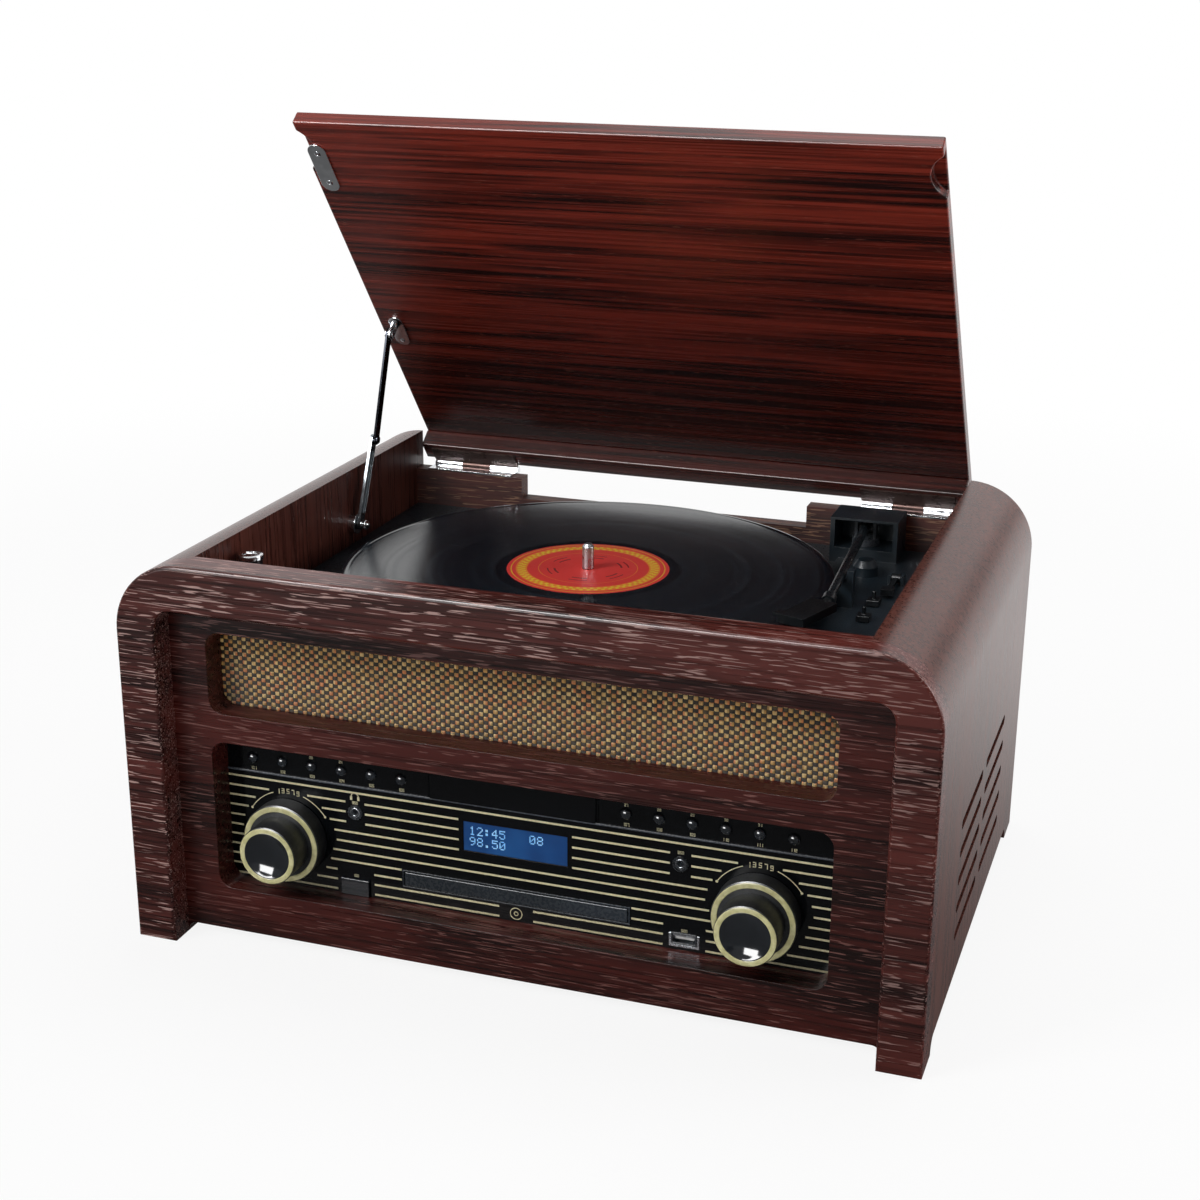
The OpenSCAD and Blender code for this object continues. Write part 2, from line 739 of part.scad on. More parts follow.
module tonearm_base() {
    w0 = pivot_x - housing_left;
    w1 = pivot_x + housing_right;
    y0 = arm_y - housing_front;
    y1 = yb - batten_w - 1.5;
    z0 = deck_z;
    plate = 3;
    rest_y = yf + rest_from_front;
    rest_x = pivot_x + (arm_y - rest_y) * tan(arm_park);
    color("#1b1c1f") {
        difference() {
            union() {
                box(w0 + 6, switch_x + 14, yf + 150, y1, z0, z0 + plate);
                box(w0, w1, y0, y1, z0, arm_z + 7.5);
            }
            box(w0 + 3, w1 - 3, y0 - 1, y1 - 4, z0 + 10, arm_z + 6);
            switch_slots(z0 - 1, z0 + plate + 1);
        }
        translate([pivot_x, arm_y, z0 + 5]) cylinder(h = pin_top() - z0 - 5, r = 2);
        translate([rest_x + 6, rest_y, z0]) {
            translate([-2, -3, 0]) cube([4, 6, arm_z - z0 + 4]);
            translate([-8, -3, 0]) cube([8, 6, arm_z - z0 - tube_d / 2 - clear]);
        }
        translate([pivot_x + 9, arm_y - 42, z0]) {
            cylinder(h = 9, r = 8);
            translate([0, 0, 9]) cylinder(h = 4, r1 = 8, r2 = 5);
        }
        for (s = [-1, 1]) translate([cue_x + s * 4 - 1, cue_y - 4, z0]) cube([2, 8, 9]);
        bar_x(cue_x - 4, cue_x + 4, cue_y, z0 + 6.5, 1.5);
    }
}

// The top of the upright pin that the arm's yoke turns on
function pin_top() = arm_z - 9;

module arm_yoke() {
    floor_z = deck_z + 10 + clear;
    color("#55585d") difference() {
        translate([pivot_x, arm_y, 0]) rotate(arm_park) {
            translate([0, 0, floor_z]) cylinder(h = arm_z - 7.3 - floor_z, r = 9);
            for (s = [-1, 1]) translate([s * 6 - 1, -4, floor_z]) cube([2, 8, arm_z + 3 - floor_z]);
        }
        translate([pivot_x, arm_y, floor_z - 1]) cylinder(h = pin_top() + clear - floor_z + 1, r = 2 + run);
        on_arm() bar_x(-8, 8, 0, 0, 1 + run);
    }
}

module tonearm() {
    color("#26282b") on_arm() {
        bar_y(0, 0, -arm_l, 9, tube_d / 2);
        bar_y(0, 0, -arm_l, -arm_l + 9, tube_d / 2 + 1.4);
        bar_y(0, 0, 5, 12, 4.4);
        bar_x(-7, 7, 0, 0, 1);
    }
}

module headshell() {
    color("#141517") on_arm() {
        bar_y(0, 0, -arm_l - 6, -arm_l, tube_d / 2);
        translate([0, -arm_l - 1, 0]) rotate(-shell_angle) {
            translate([-shell_w / 2, -shell_l, -2.5]) cube([shell_w, shell_l - 3.5, 5]);
            translate([-shell_w / 2 + 3, -shell_l + 3, -4.5]) cube([shell_w - 6, shell_l - 14, 3]);
            translate([0, -shell_l + 8, arm_drop()]) cylinder(h = -arm_drop() - 3, r1 = 0.4, r2 = 1.6);
            translate([-shell_w / 2 - 7, -shell_l + 6, -1]) cube([8, 5, 1.2]);
        }
    }
}

// How far the stylus reaches under the arm's axis, just clear of the record
function arm_drop() = record_top + clear - arm_z;

module cue_lever() {
    z = deck_z + 6.5;
    color("#0f1012") difference() {
        union() {
            bar_x(cue_x - 2.7, cue_x + 2.7, cue_y, z, 3);
            box(cue_x - 1.5, cue_x + 1.5, cue_y - 26, cue_y, z - 1.2, z + 1.2);
            box(cue_x - 4, cue_x + 4, cue_y - 32, cue_y - 25, z - 1.2, z + 2.4);
        }
        bar_x(cue_x - 5, cue_x + 5, cue_y, z, 1.5 + run);
    }
}

// A slide switch's cap, with its stem down through the slot
module slide_cap(y) {
    top = deck_z + 3;
    color("#0f1012") {
        box(switch_x - 4, switch_x + 4, y - 3, y + 5, top + clear, top + 4);
        box(switch_x - 1.4, switch_x + 1.4, y - 2, y + 4, deck_z - deck_t, top + 1);
        box(switch_x - 1, switch_x + 1, y, y + 2, top + 3, top + 9);
    }
}

module speed_selector() {
    slide_cap(speed_y);
}

module stop_switch() {
    slide_cap(stop_y);
}

module grille_board() {
    color("#1a1412") facing(plate_y + cloth_t, grille_board_t) difference() {
        translate([window_x, grille_z + grille_h / 2]) square([window_w + 10, grille_h + 8], center = true);
        for (s = [-1, 1])
            translate([window_x + s * window_w / 4, grille_z + grille_h / 2])
                rounded(window_w / 2 - 20, grille_h - 12, 8);
    }
}

module grille_cloth() {
    color("#b08d3e") facing(plate_y, cloth_t)
        translate([window_x, grille_z + grille_h / 2]) square([window_w + 10, grille_h + 8], center = true);
}

module control_fascia() {
    color(black) facing(plate_y, fascia_t) difference() {
        translate([window_x, fascia_z0 + fascia_h / 2]) square([fascia_w, fascia_h], center = true);
        for (i = [0 : button_count - 1]) {
            translate([left_x(i), button_z]) circle(button_d / 2 + clear);
            translate([right_x(i), button_z]) circle(button_d / 2 + clear);
        }
        for (x = [volume_x, tuning_x]) translate([x, dial_z]) circle(shaft_d / 2 + 0.5);
        translate([power_x, power_z]) square([power_w + 2 * clear, power_h + 2 * clear], center = true);
        translate([display_x, display_z]) square([display_w, display_h], center = true);
        translate([drawer_x, drawer_z]) square([drawer_w + 2 * clear, drawer_h + 2 * clear], center = true);
        translate([usb_x, usb_z]) square([usb_w, usb_h], center = true);
        for (x = [phones_x, line_in_x]) translate([x, jack_z]) circle(3 + fit);
    }
}

// A push button: the cap in the fascia's hole, its flange behind, and its stem to the key switch
module push_button(x) {
    color("#d9d4b8") {
        bar_y(x, button_z, plate_y - button_proud, fascia_back + 1, button_d / 2);
        bar_y(x, button_z, fascia_back + clear, fascia_back + 1.3, button_d / 2 + 1.2);
        bar_y(x, button_z, fascia_back + 1, key_y() - button_travel - clear, 1.6);
    }
}

// The front of the key switches on the main board
function key_y() = board_y - 5;

module power_button() {
    y1 = key_y() - 2 - clear;
    color("#222427") {
        box(power_x - power_w / 2, power_x + power_w / 2, plate_y - 2, fascia_back + 1,
            power_z - power_h / 2, power_z + power_h / 2);
        box(power_x - power_w / 2 - 1.5, power_x + power_w / 2 + 1.5, fascia_back + clear, fascia_back + 1.5,
            power_z - power_h / 2 - 1.5, power_z + power_h / 2 + 1.5);
        bar_y(power_x, power_z, fascia_back + 1, y1, 2.5);
    }
}

// A two-tier dial with its skirt by the fascia and its shaft through it
module dial(x) {
    tip = board_y - 2;
    translate([x, plate_y, dial_z]) rotate([90, 0, 0]) rotate_extrude($fn = 96) polygon([
        [0, plate_y - tip], [shaft_d / 2, plate_y - tip], [shaft_d / 2, clear], [dial_d / 2, clear],
        [dial_d / 2, dial_skirt_t - 1], [dial_d / 2 - 1, dial_skirt_t], [dial_tier_d / 2 + 1, dial_skirt_t],
        [dial_tier_d / 2, dial_proud - 1], [dial_tier_d / 2 - 1, dial_proud], [0, dial_proud]
    ]);
}

module volume_knob() {
    color("#1d1e20") dial(volume_x);
}

module tuning_knob() {
    color("#1d1e20") dial(tuning_x);
}

module display_module() {
    h = display_h + 8;
    color("#2a48a0") {
        box(display_x - display_w / 2, display_x + display_w / 2, plate_y + 0.5, fascia_back + 1,
            display_z - display_h / 2, display_z + display_h / 2);
        box(display_x - display_w / 2 - 5, display_x + display_w / 2 + 5, fascia_back, board_y,
            display_z - h / 2, display_z + h / 2);
    }
}

module cd_mechanism() {
    x0 = drawer_x - mech_w / 2;
    x1 = drawer_x + mech_w / 2;
    wall = 2.5;
    floor_z = drawer_z - drawer_h / 2 - clear;
    roof_z = mech_z0 + mech_h - wall;
    color("#6f747a") {
        difference() {
            box(x0, x1, mech_y, mech_y + mech_l, mech_z0, mech_z0 + mech_h);
            box(drawer_x - drawer_w / 2 - clear, drawer_x + drawer_w / 2 + clear,
                mech_y - 1, mech_y + tray_l + 2, floor_z, roof_z);
        }
        for (x = [x0 + 2, x1 - 12], y = [mech_y + 4, mech_y + mech_l - 14])
            box(x, x + 10, y, y + 10, base_top, mech_z0);
    }
}

module cd_drawer() {
    z0 = drawer_z - drawer_h / 2;
    tray_h = 6;
    hole_r = 17;
    disc_y = fascia_back + 2 + tray_l / 2 - 2;
    color("#1b1c1e") {
        box(drawer_x - drawer_w / 2, drawer_x + drawer_w / 2,
            plate_y - 0.8, fascia_back - 0.4, z0, z0 + drawer_h);
        difference() {
            box(drawer_x - drawer_w / 2 + 1, drawer_x + drawer_w / 2 - 1,
                fascia_back - 0.5, fascia_back + tray_l, z0, z0 + tray_h);
            translate([drawer_x, disc_y, z0 + 2.5]) cylinder(h = tray_h, r = disc_d / 2);
            translate([drawer_x, disc_y, z0 - 1]) cylinder(h = tray_h, r = hole_r);
        }
    }
}

// A 3.5 mm jack with its ring in the fascia
module jack(x) {
    difference() {
        union() {
            bar_y(x, jack_z, plate_y - 0.8, fascia_back + 1, 3);
            box(x - 4.5, x + 4.5, fascia_back, board_y, jack_z - 4.5, jack_z + 4.5);
        }
        bar_y(x, jack_z, plate_y - 2, fascia_back + 11, jack_r);
    }
}

module front_sockets() {
    cavity_w = 12.6;
    cavity_h = 5.2;
    color("#9a9da1") {
        for (x = [phones_x, line_in_x]) jack(x);
        difference() {
            union() {
                box(usb_x - usb_w / 2, usb_x + usb_w / 2, plate_y - 0.2, fascia_back,
                    usb_z - usb_h / 2, usb_z + usb_h / 2);
                box(usb_x - 7, usb_x + 7, plate_y, board_y, usb_z - 3.4, usb_z + 3.4);
            }
            box(usb_x - cavity_w / 2, usb_x + cavity_w / 2, plate_y - 2, board_y - 5,
                usb_z - cavity_h / 2, usb_z + cavity_h / 2);
        }
    }
}

// The board outline, notched over the disc mechanism
module board_outline() {
    x0 = window_x - window_w / 2 + 2;
    x1 = window_x + window_w / 2 - 2;
    difference() {
        translate([x0, base_top]) square([x1 - x0, button_z + 10 - base_top]);
        translate([drawer_x - mech_w / 2 - 2, 0]) square([mech_w + 4, mech_z0 + mech_h + 2]);
    }
}

module main_board() {
    color("#2c5a38") difference() {
        facing(board_y, board_t) board_outline();
        for (x = [volume_x, tuning_x]) bar_y(x, dial_z, board_y - 1, board_y + 3, shaft_d / 2 + run);
    }
    color("#7c8085") {
        for (x = [volume_x, tuning_x]) difference() {
            bar_y(x, dial_z, board_y - 11, board_y, 8.5);
            bar_y(x, dial_z, board_y - 12, board_y + 1, shaft_d / 2 + run);
        }
        for (i = [0 : button_count - 1], x = [left_x(i), right_x(i)])
            box(x - 3, x + 3, key_y(), board_y, button_z - 3, button_z + 3);
        box(power_x - 6, power_x + 6, key_y(), board_y, power_z - 6, power_z + 6);
    }
}

// A loudspeaker behind the slots of the right side
module speaker() {
    color("#232528") translate([inner_x, yf + slot_y, speaker_z]) rotate([0, -90, 0]) rotate_extrude() polygon([
        [0, 11], [10, 11], [speaker_r - 7, 2], [speaker_r - 6, 0], [speaker_r, 0],
        [speaker_r, 3], [speaker_r - 5, 3], [magnet_r - 2, 22], [magnet_r, 22],
        [magnet_r, speaker_depth], [0, speaker_depth]
    ]);
}

module right_speaker() {
    speaker();
}

module left_speaker() {
    mirror([1, 0, 0]) speaker();
}

module power_supply() {
    core_w = 56;
    core_t = 18;
    core_h = 46;
    plate_t = 2;
    winding_w = 34;
    winding_t = 38;
    translate([supply_x, supply_y, base_top]) {
        color("#6b6f74") {
            box(-core_w / 2 - 5, core_w / 2 + 5, -winding_t / 2 - 1, winding_t / 2 + 1, 0, plate_t);
            box(-core_w / 2, core_w / 2, -core_t / 2, core_t / 2, plate_t, plate_t + core_h);
        }
        color("#b5792f") box(-winding_w / 2, winding_w / 2, -winding_t / 2, winding_t / 2,
            plate_t + core_h / 5, plate_t + core_h * 4 / 5);
    }
}

module rear_sockets() {
    y0 = yb - back_t - 6;
    color("#202124") {
        difference() {
            union() {
                facing(yb, 2) translate([inlet_x, inlet_z]) rounded(inlet_w, inlet_h, 3);
                facing(y0, yb - y0) translate([inlet_x, inlet_z]) square([22, 16], center = true);
            }
            facing(y0 + 2, yb - y0 + 2) translate([inlet_x, inlet_z]) stadium(16, 8.6);
        }
        for (s = [-1, 1]) bar_y(inlet_x + s * 4.3, inlet_z, y0 + 1, yb - 2, 1.15);
    }
    color("#c8cacc") {
        difference() {
            bar_y(aerial_x, socket_z, y0, yb + 5, 5);
            bar_y(aerial_x, socket_z, yb - 4, yb + 6, 3.6);
        }
        for (s = [-1, 1]) difference() {
            bar_y(line_out_x + 8 * s, socket_z, y0, yb + 6, 4.15);
            bar_y(line_out_x + 8 * s, socket_z, yb - 4, yb + 7, 1.62);
        }
    }
}

module panel_screws() {
    color(steel) screw_axes() {
        bar_y(0, 0, yb - back_t - 14, yb, screw_r);
        bar_y(0, 0, yb, yb + 1.8, screw_head_r);
    }
}

left_side();
right_side();
front_frame();
front_panel();
back_panel();
base_panel();
deck_cleats();
lid_board();
lid_batten();
hinge_lower_leaves();
hinge_upper_leaves();
stay_lid_bracket();
stay_upper_arm();
stay_lower_arm();
stay_wall_stud();
lid_catch();
strike_plate();
turntable_deck();
platter();
slip_mat();
record();
spindle();
turntable_motor();
motor_pulley();
drive_belt();
tonearm_base();
arm_yoke();
tonearm();
headshell();
cue_lever();
speed_selector();
stop_switch();
grille_board();
grille_cloth();
control_fascia();
push_button(left_x(0));  // left_button_1
push_button(left_x(1));  // left_button_2
push_button(left_x(2));  // left_button_3
push_button(left_x(3));  // left_button_4
push_button(left_x(4));  // left_button_5
push_button(left_x(5));  // left_button_6
push_button(right_x(0));  // right_button_1
push_button(right_x(1));  // right_button_2
push_button(right_x(2));  // right_button_3
push_button(right_x(3));  // right_button_4
push_button(right_x(4));  // right_button_5
push_button(right_x(5));  // right_button_6
power_button();
volume_knob();
tuning_knob();
display_module();
cd_mechanism();
cd_drawer();
front_sockets();
main_board();
left_speaker();
right_speaker();
power_supply();
rear_sockets();
panel_screws();
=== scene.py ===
"""The looks of a stereo music centre in a veneered wooden cabinet: a record deck under a lid, a woven
cloth grille, and a black control panel with dials, buttons, a display and a disc drawer.
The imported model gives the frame, in metres, and the profiles of turned pieces are in millimetres."""
import math

import bmesh
import bpy
from mathutils import Matrix, Vector


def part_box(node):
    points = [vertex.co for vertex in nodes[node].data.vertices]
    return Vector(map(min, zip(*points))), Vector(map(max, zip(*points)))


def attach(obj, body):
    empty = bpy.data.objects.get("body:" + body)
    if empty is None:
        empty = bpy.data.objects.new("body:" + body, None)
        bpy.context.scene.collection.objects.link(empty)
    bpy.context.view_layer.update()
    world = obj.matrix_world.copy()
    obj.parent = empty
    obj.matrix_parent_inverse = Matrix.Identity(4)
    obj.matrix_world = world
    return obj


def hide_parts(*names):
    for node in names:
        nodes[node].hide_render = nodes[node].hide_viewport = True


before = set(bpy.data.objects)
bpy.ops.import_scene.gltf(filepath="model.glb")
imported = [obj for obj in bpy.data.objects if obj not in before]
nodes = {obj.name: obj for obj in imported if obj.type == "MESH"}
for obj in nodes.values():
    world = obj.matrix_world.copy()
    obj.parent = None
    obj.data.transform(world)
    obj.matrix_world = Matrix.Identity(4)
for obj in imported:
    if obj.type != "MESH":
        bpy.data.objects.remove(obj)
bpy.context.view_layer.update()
MM = 0.001
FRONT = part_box("front_frame")[0].y

# The camera and the studio.
# The photograph looks down from the front right, with a normal lens. The room is white. Three large
# soft lamps light the cabinet from the front left, from above and from the right, and two more
# show only as reflections.
camera = bpy.data.objects.new("camera", bpy.data.cameras.new("camera"))
bpy.context.scene.collection.objects.link(camera)
camera.location = (0.36479, -1.08478, 0.57345)
camera.rotation_euler = (1.24279, -0.00634, 0.33136)
camera.data.lens, camera.data.sensor_width = 58.63, 36
camera.data.clip_start, camera.data.clip_end = 0.01, 50
bpy.context.scene.camera = camera
bpy.context.scene.view_settings.view_transform = "Standard"


class Wire:
    """A shader socket that can be written into Python sums."""

    def __init__(self, tree, socket=None):
        self.tree, self.socket = tree, socket

    def node(self, kind, settings=(), inputs=(), result=0):
        """Adds a node: its settings first, then the values or wires of its sockets."""
        made = self.tree.nodes.new("ShaderNode" + kind)
        for key, value in dict(settings).items():
            if key == "stops":
                ramp = made.color_ramp
                while len(ramp.elements) < len(value):
                    ramp.elements.new(0.5)
                for stop, (place, shade) in zip(ramp.elements, value):
                    stop.position, stop.color = place, shade
            else:
                setattr(made, key, value)
        for key, value in dict(inputs).items():
            if isinstance(value, Wire):
                self.tree.links.new(value.socket, made.inputs[key])
            else:
                made.inputs[key].default_value = value
        return Wire(self.tree, made.outputs[result])

    def sums(self, operation, *terms):
        return self.node("Math", {"operation": operation}, dict(enumerate(terms)))

    def __add__(self, other):
        return self.sums("ADD", self, other)

    def __sub__(self, other):
        return self.sums("SUBTRACT", self, other)

    def __rsub__(self, other):
        return self.sums("SUBTRACT", other, self)

    def __mul__(self, other):
        return self.sums("MULTIPLY", self, other)

    def __mod__(self, other):
        return self.sums("FLOORED_MODULO", self, other)

    def __gt__(self, other):
        return self.sums("GREATER_THAN", self, other)

    __radd__, __rmul__ = __add__, __mul__

    def step(self, low, high, down=0.0, up=1.0):
        """Rises smoothly from down to up as the value goes from low to high."""
        return self.node("MapRange", {"interpolation_type": "SMOOTHSTEP"},
                         {0: self, 1: low, 2: high, 3: down, 4: up})

    def place(self):
        return self.node("TexCoord", result="Object")

    def stretched(self, x, y, z):
        return self.node("VectorMath", {"operation": "MULTIPLY"}, {0: self, 1: (x, y, z)})

    def axis(self, name):
        return self.node("SeparateXYZ", (), {0: self}, name)

    def noise(self, scale=1.0, detail=2.0, rough=0.5, bend=0.0):
        return self.node("TexNoise", (), {"Vector": self, "Scale": scale, "Detail": detail,
                                          "Roughness": rough, "Distortion": bend}, "Fac")

    def mix(self, first, second):
        """The first colour where this value is 0, and the second where it is 1."""
        return self.node("Mix", {"data_type": "RGBA"}, {0: self, 6: first, 7: second}, 2)


def tint(code, dim=1.0):
    """A screen colour such as 5a2b26 as the shader's own numbers."""
    parts = [int(code[i:i + 2], 16) / 255 for i in (0, 2, 4)]
    linear = [p / 12.92 if p < 0.04045 else ((p + 0.055) / 1.055) ** 2.4 for p in parts]
    return tuple(p * dim for p in linear) + (1.0,)


def material(name, recipe, **fixed):
    """A material whose recipe gives the varying sockets. Fixed sockets keep one value all over."""
    made = bpy.data.materials.new(name)
    made.use_nodes = True
    tree = made.node_tree
    shader = tree.nodes["Principled BSDF"]
    start = Wire(tree)
    sockets = {key.replace("_", " "): value for key, value in fixed.items()}
    sockets.update(recipe(start))
    height = sockets.pop("Height", None)
    if height:
        wire, strength, distance = height
        bump = {"Strength": strength, "Distance": distance, "Height": wire}
        sockets["Normal"] = start.node("Bump", (), bump, "Normal")
    for key, value in sockets.items():
        if isinstance(value, Wire):
            tree.links.new(value.socket, shader.inputs[key])
        else:
            shader.inputs[key].default_value = value
    return made


world = bpy.data.worlds.new("studio")
bpy.context.scene.world = world
world.use_nodes = True
sky = Wire(world.node_tree)
mirrored = sky.sums("MAXIMUM", sky.node("LightPath", result="Is Glossy Ray"),
                    sky.node("LightPath", result="Is Transmission Ray"))
way = sky.node("TexCoord", result="Generated")
curtain = way.axis("Z").step(0.0, 0.06) * way.axis("Z").step(0.16, 0.3, 1.0, 0.0)
curtain = curtain * way.axis("X").step(0.15, 0.35)
backdrop = way.axis("Y").step(-0.3, 0.15, 0.22, 1.0) * (1 - curtain * 0.75)
strength = mirrored * backdrop + (1 - mirrored) * 0.26
strength = strength.sums("MAXIMUM", strength, sky.node("LightPath", result="Is Camera Ray"))
behind = world.node_tree.nodes["Background"]
world.node_tree.links.new(strength.socket, behind.inputs["Strength"])
behind.inputs["Color"].default_value = (1, 1, 1, 1)

for name, place, aim, wide, high, watts in (
        ("key_lamp", (-1.35, -1.55, 1.75), (0, 0, 0.2), 0.9, 0.9, 24),
        ("glint_lamp", (-0.45, -1.0, 1.25), (0, -0.15, 0.12), 0.95, 0.45, 50),
        ("top_lamp", (0.1, 0.5, 2.0), (0, 0, 0.2), 1.4, 1.0, 15),
        ("side_lamp", (2.1, 0.5, 0.8), (0, 0, 0.15), 1.3, 1.1, 24),
        ("front_window", (-1.0, -2.5, 0.45), (0, 0, 0.1), 1.5, 0.8, 45)):
    lamp = bpy.data.objects.new(name, bpy.data.lights.new(name, "AREA"))
    lamp.data.shape, lamp.data.size, lamp.data.size_y, lamp.data.energy = "RECTANGLE", wide, high, watts
    lamp.location = place
    lamp.visible_diffuse = name not in ("glint_lamp", "front_window")
    lamp.rotation_euler = (Vector(aim) - Vector(place)).to_track_quat("-Z", "Y").to_euler()
    bpy.context.scene.collection.objects.link(lamp)

floor = bpy.data.objects.new("studio_floor", bpy.data.meshes.new("studio_floor"))
floor.data.from_pydata([(-6, -6, 0), (6, -6, 0), (6, 6, 0), (-6, 6, 0)], [], [(0, 1, 2, 3)])
bpy.context.scene.collection.objects.link(floor)
paper = bpy.data.materials.new("white_paper")
paper.use_nodes = True
sweep = Wire(paper.node_tree)
matt = sweep.node("BsdfDiffuse", (), {"Color": (0.9, 0.9, 0.9, 1)})
spot = sweep.place()
seen = sweep.node("LightPath", result="Is Camera Ray")
mirrored = sweep.node("LightPath", result="Is Glossy Ray")
backwards = spot.axis("Y").step(-0.1, 0.6, 0.12, 1.0)
glow = sweep.node("Emission", (), {"Color": (1, 1, 1, 1), "Strength": mirrored * (backwards - 1) + 1})
far = spot.node("VectorMath", {"operation": "LENGTH"}, {0: spot}, "Value").step(0.7, 1.5, 0.88, 1.0)
direct = seen * far + mirrored
lit = sweep.node("MixShader", (), {0: direct, 1: matt, 2: glow})
paper.node_tree.links.new(lit.socket, paper.node_tree.nodes["Material Output"].inputs["Surface"])
floor.data.materials.append(paper)

# The cabinet: front frame, front panel and sides.
# Boards of fibreboard under a dark rosewood foil, mitred and glued. The foil carries the short pale
# pores of open grain: along the rails, up the posts, and up the sides. Its edges are softly rounded.


def veneer(name, run, dark, red, pore, pores, shine, streak=0.4, painted_sheen_fade=None, gloss=0.3):
    """Dark wood foil whose grain runs along one axis, with short pale pores that come in drifts. Where asked,
    the pores thin out along one axis as a painted sheen.
    """
    def scaled(p, along, across):
        wide = {a: across for a in "xyz"}
        wide[run] = along
        return p.stretched(wide["x"], wide["y"], wide["z"])

    def recipe(s):
        p = s.place()
        figure = scaled(p, 3.0, 26).noise(1, 3, 0.6, 0.8)
        lines = scaled(p, 7, 520).noise(1, 2, 0.6)
        drift = scaled(p, 9, 42).noise(1, 2)
        short = scaled(p, 62, 1000).noise(1, 1, 0.35)
        longer = scaled(p, 30, 1200).noise(1, 1, 0.35)
        wood = (figure * (1 - streak) + lines * streak).step(0.38, 0.62).mix(tint(dark), tint(red))
        cut = (short + drift * 0.16).step(0.715, 0.76)
        cut = cut.sums("MAXIMUM", cut, (longer + drift * 0.2).step(0.755, 0.80) * 0.8) * pores
        if painted_sheen_fade:
            cut = cut * p.axis(painted_sheen_fade[0]).step(painted_sheen_fade[1], painted_sheen_fade[2], 1.0, painted_sheen_fade[3])
        return {"Base Color": cut.mix(wood, tint(pore)), "Roughness": cut * 0.2 + lines * 0.08 + shine,
                "Height": ((1 - cut) + lines * 0.25, 0.1, 0.0002)}
    return material(name, recipe, Specular_IOR_Level=gloss)


# The front's pale pores thin out towards the right: a painted reflection, lighter on the left where the foil
# catches the lamps.
front_wood = veneer("rosewood_front", "x", "240e0c", "5c2721", "c09a92", 0.85, 0.24,
                    painted_sheen_fade=("X", -0.05, 0.25, 0.5))
panel_wood = veneer("rosewood_panel", "x", "1e0a08", "4e1a14", "8f5c54", 0.55, 0.24)
side_wood = veneer("rosewood_side", "z", "3c1c16", "5c3128", "85594d", 0.3, 0.24, 0.8, gloss=0.3)


def finished(obj, paint, body, replaced=(), angle=32):
    """Gives a piece its material, smooth curves and flat flats, and its place on a body."""
    if obj.name not in bpy.context.scene.collection.all_objects:
        bpy.context.scene.collection.objects.link(obj)
    for poly in obj.data.polygons:
        poly.use_smooth = True
    obj.data.set_sharp_from_angle(angle=math.radians(angle))
    obj.data.materials.clear()
    for each in paint if isinstance(paint, (list, tuple)) else [paint]:
        obj.data.materials.append(each)
    level = obj.modifiers.new("flat_flats", "WEIGHTED_NORMAL")
    level.keep_sharp = True
    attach(obj, body)
    if replaced:
        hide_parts(*replaced)


def from_bmesh(name, bm):
    mesh = bpy.data.meshes.new(name)
    bm.to_mesh(mesh)
    bm.free()
    return bpy.data.objects.new(name, mesh)


def softened(name, node, chosen, width, steps):
    """The node's own shape again, with the chosen edges rounded over."""
    bm = bmesh.new()
    bm.from_mesh(nodes[node].data)
    bmesh.ops.remove_doubles(bm, verts=bm.verts, dist=2e-5)
    bmesh.ops.dissolve_limit(bm, angle_limit=math.radians(0.6), verts=bm.verts, edges=bm.edges)
    edges = []
    for edge in bm.edges:
        if len(edge.link_faces) == 2 and edge.calc_face_angle(0) > math.radians(40):
            if chosen((edge.verts[0].co + edge.verts[1].co) / 2):
                edges.append(edge)
    bmesh.ops.bevel(bm, geom=edges, offset=width, offset_type="OFFSET", segments=steps, profile=0.5,
                    affect="EDGES", clamp_overlap=True)
    return from_bmesh(name, bm)


front_frame = softened("front_frame_veneered", "front_frame", lambda m: m.y < FRONT + 0.0005, 0.0022, 4)
finished(front_frame, front_wood, "cabinet", ["front_frame"])
PANEL = FRONT + 0.0165
PANEL_HALF, PANEL_TOP = 0.2119, 0.198


def panel_edges(m):
    """The edges of the panel's face between the sides, and those along its top at the back."""
    return m.y < PANEL + 0.0005 and abs(m.x) < PANEL_HALF or m.z > PANEL_TOP and m.y > PANEL + 0.01


front_panel = softened("front_panel_veneered", "front_panel", panel_edges, 0.0021, 4)
finished(front_panel, panel_wood, "cabinet", ["front_panel"])


def carried(node, paint, width=0.0, angle=35, steps=2):
    """A node of the model whose shape is right: welded, its edges eased, and given its finish."""
    obj = nodes[node]
    obj.data.materials.clear()
    obj.data.materials.append(paint)
    if "custom_normal" in obj.data.attributes:
        obj.data.attributes.remove(obj.data.attributes["custom_normal"])
    for poly in obj.data.polygons:
        poly.use_smooth = True
    weld = obj.modifiers.new("weld", "WELD")
    weld.merge_threshold = 2e-5
    flat = obj.modifiers.new("flats", "DECIMATE")
    flat.decimate_type, flat.angle_limit = "DISSOLVE", math.radians(0.6)
    ease = obj.modifiers.new("eased_edges", "BEVEL")
    ease.width, ease.segments, ease.limit_method = max(width, 5e-5), steps, "ANGLE"
    ease.angle_limit, ease.harden_normals = math.radians(angle), True
    ease.use_clamp_overlap = True


for node in ("left_side", "right_side"):
    carried(node, side_wood, 0.0008)

# The base, back, cleats, board of the grille and lid batten.
# Plain boards, screwed and glued in, stained dark at the back and foiled where they show.
dark_wood = veneer("stained_board", "x", "260c09", "5e2a20", "b0805f", 0.6, 0.5)
for node in ("back_panel", "base_panel", "deck_cleats"):
    carried(node, dark_wood, 0.0007)


def soot(s):
    p = s.place()
    return {"Base Color": p.noise(900, 2).step(0.3, 0.7).mix(tint("14100e"), tint("241c19")),
            "Height": (p.noise(1400, 2), 0.3, 0.0003)}


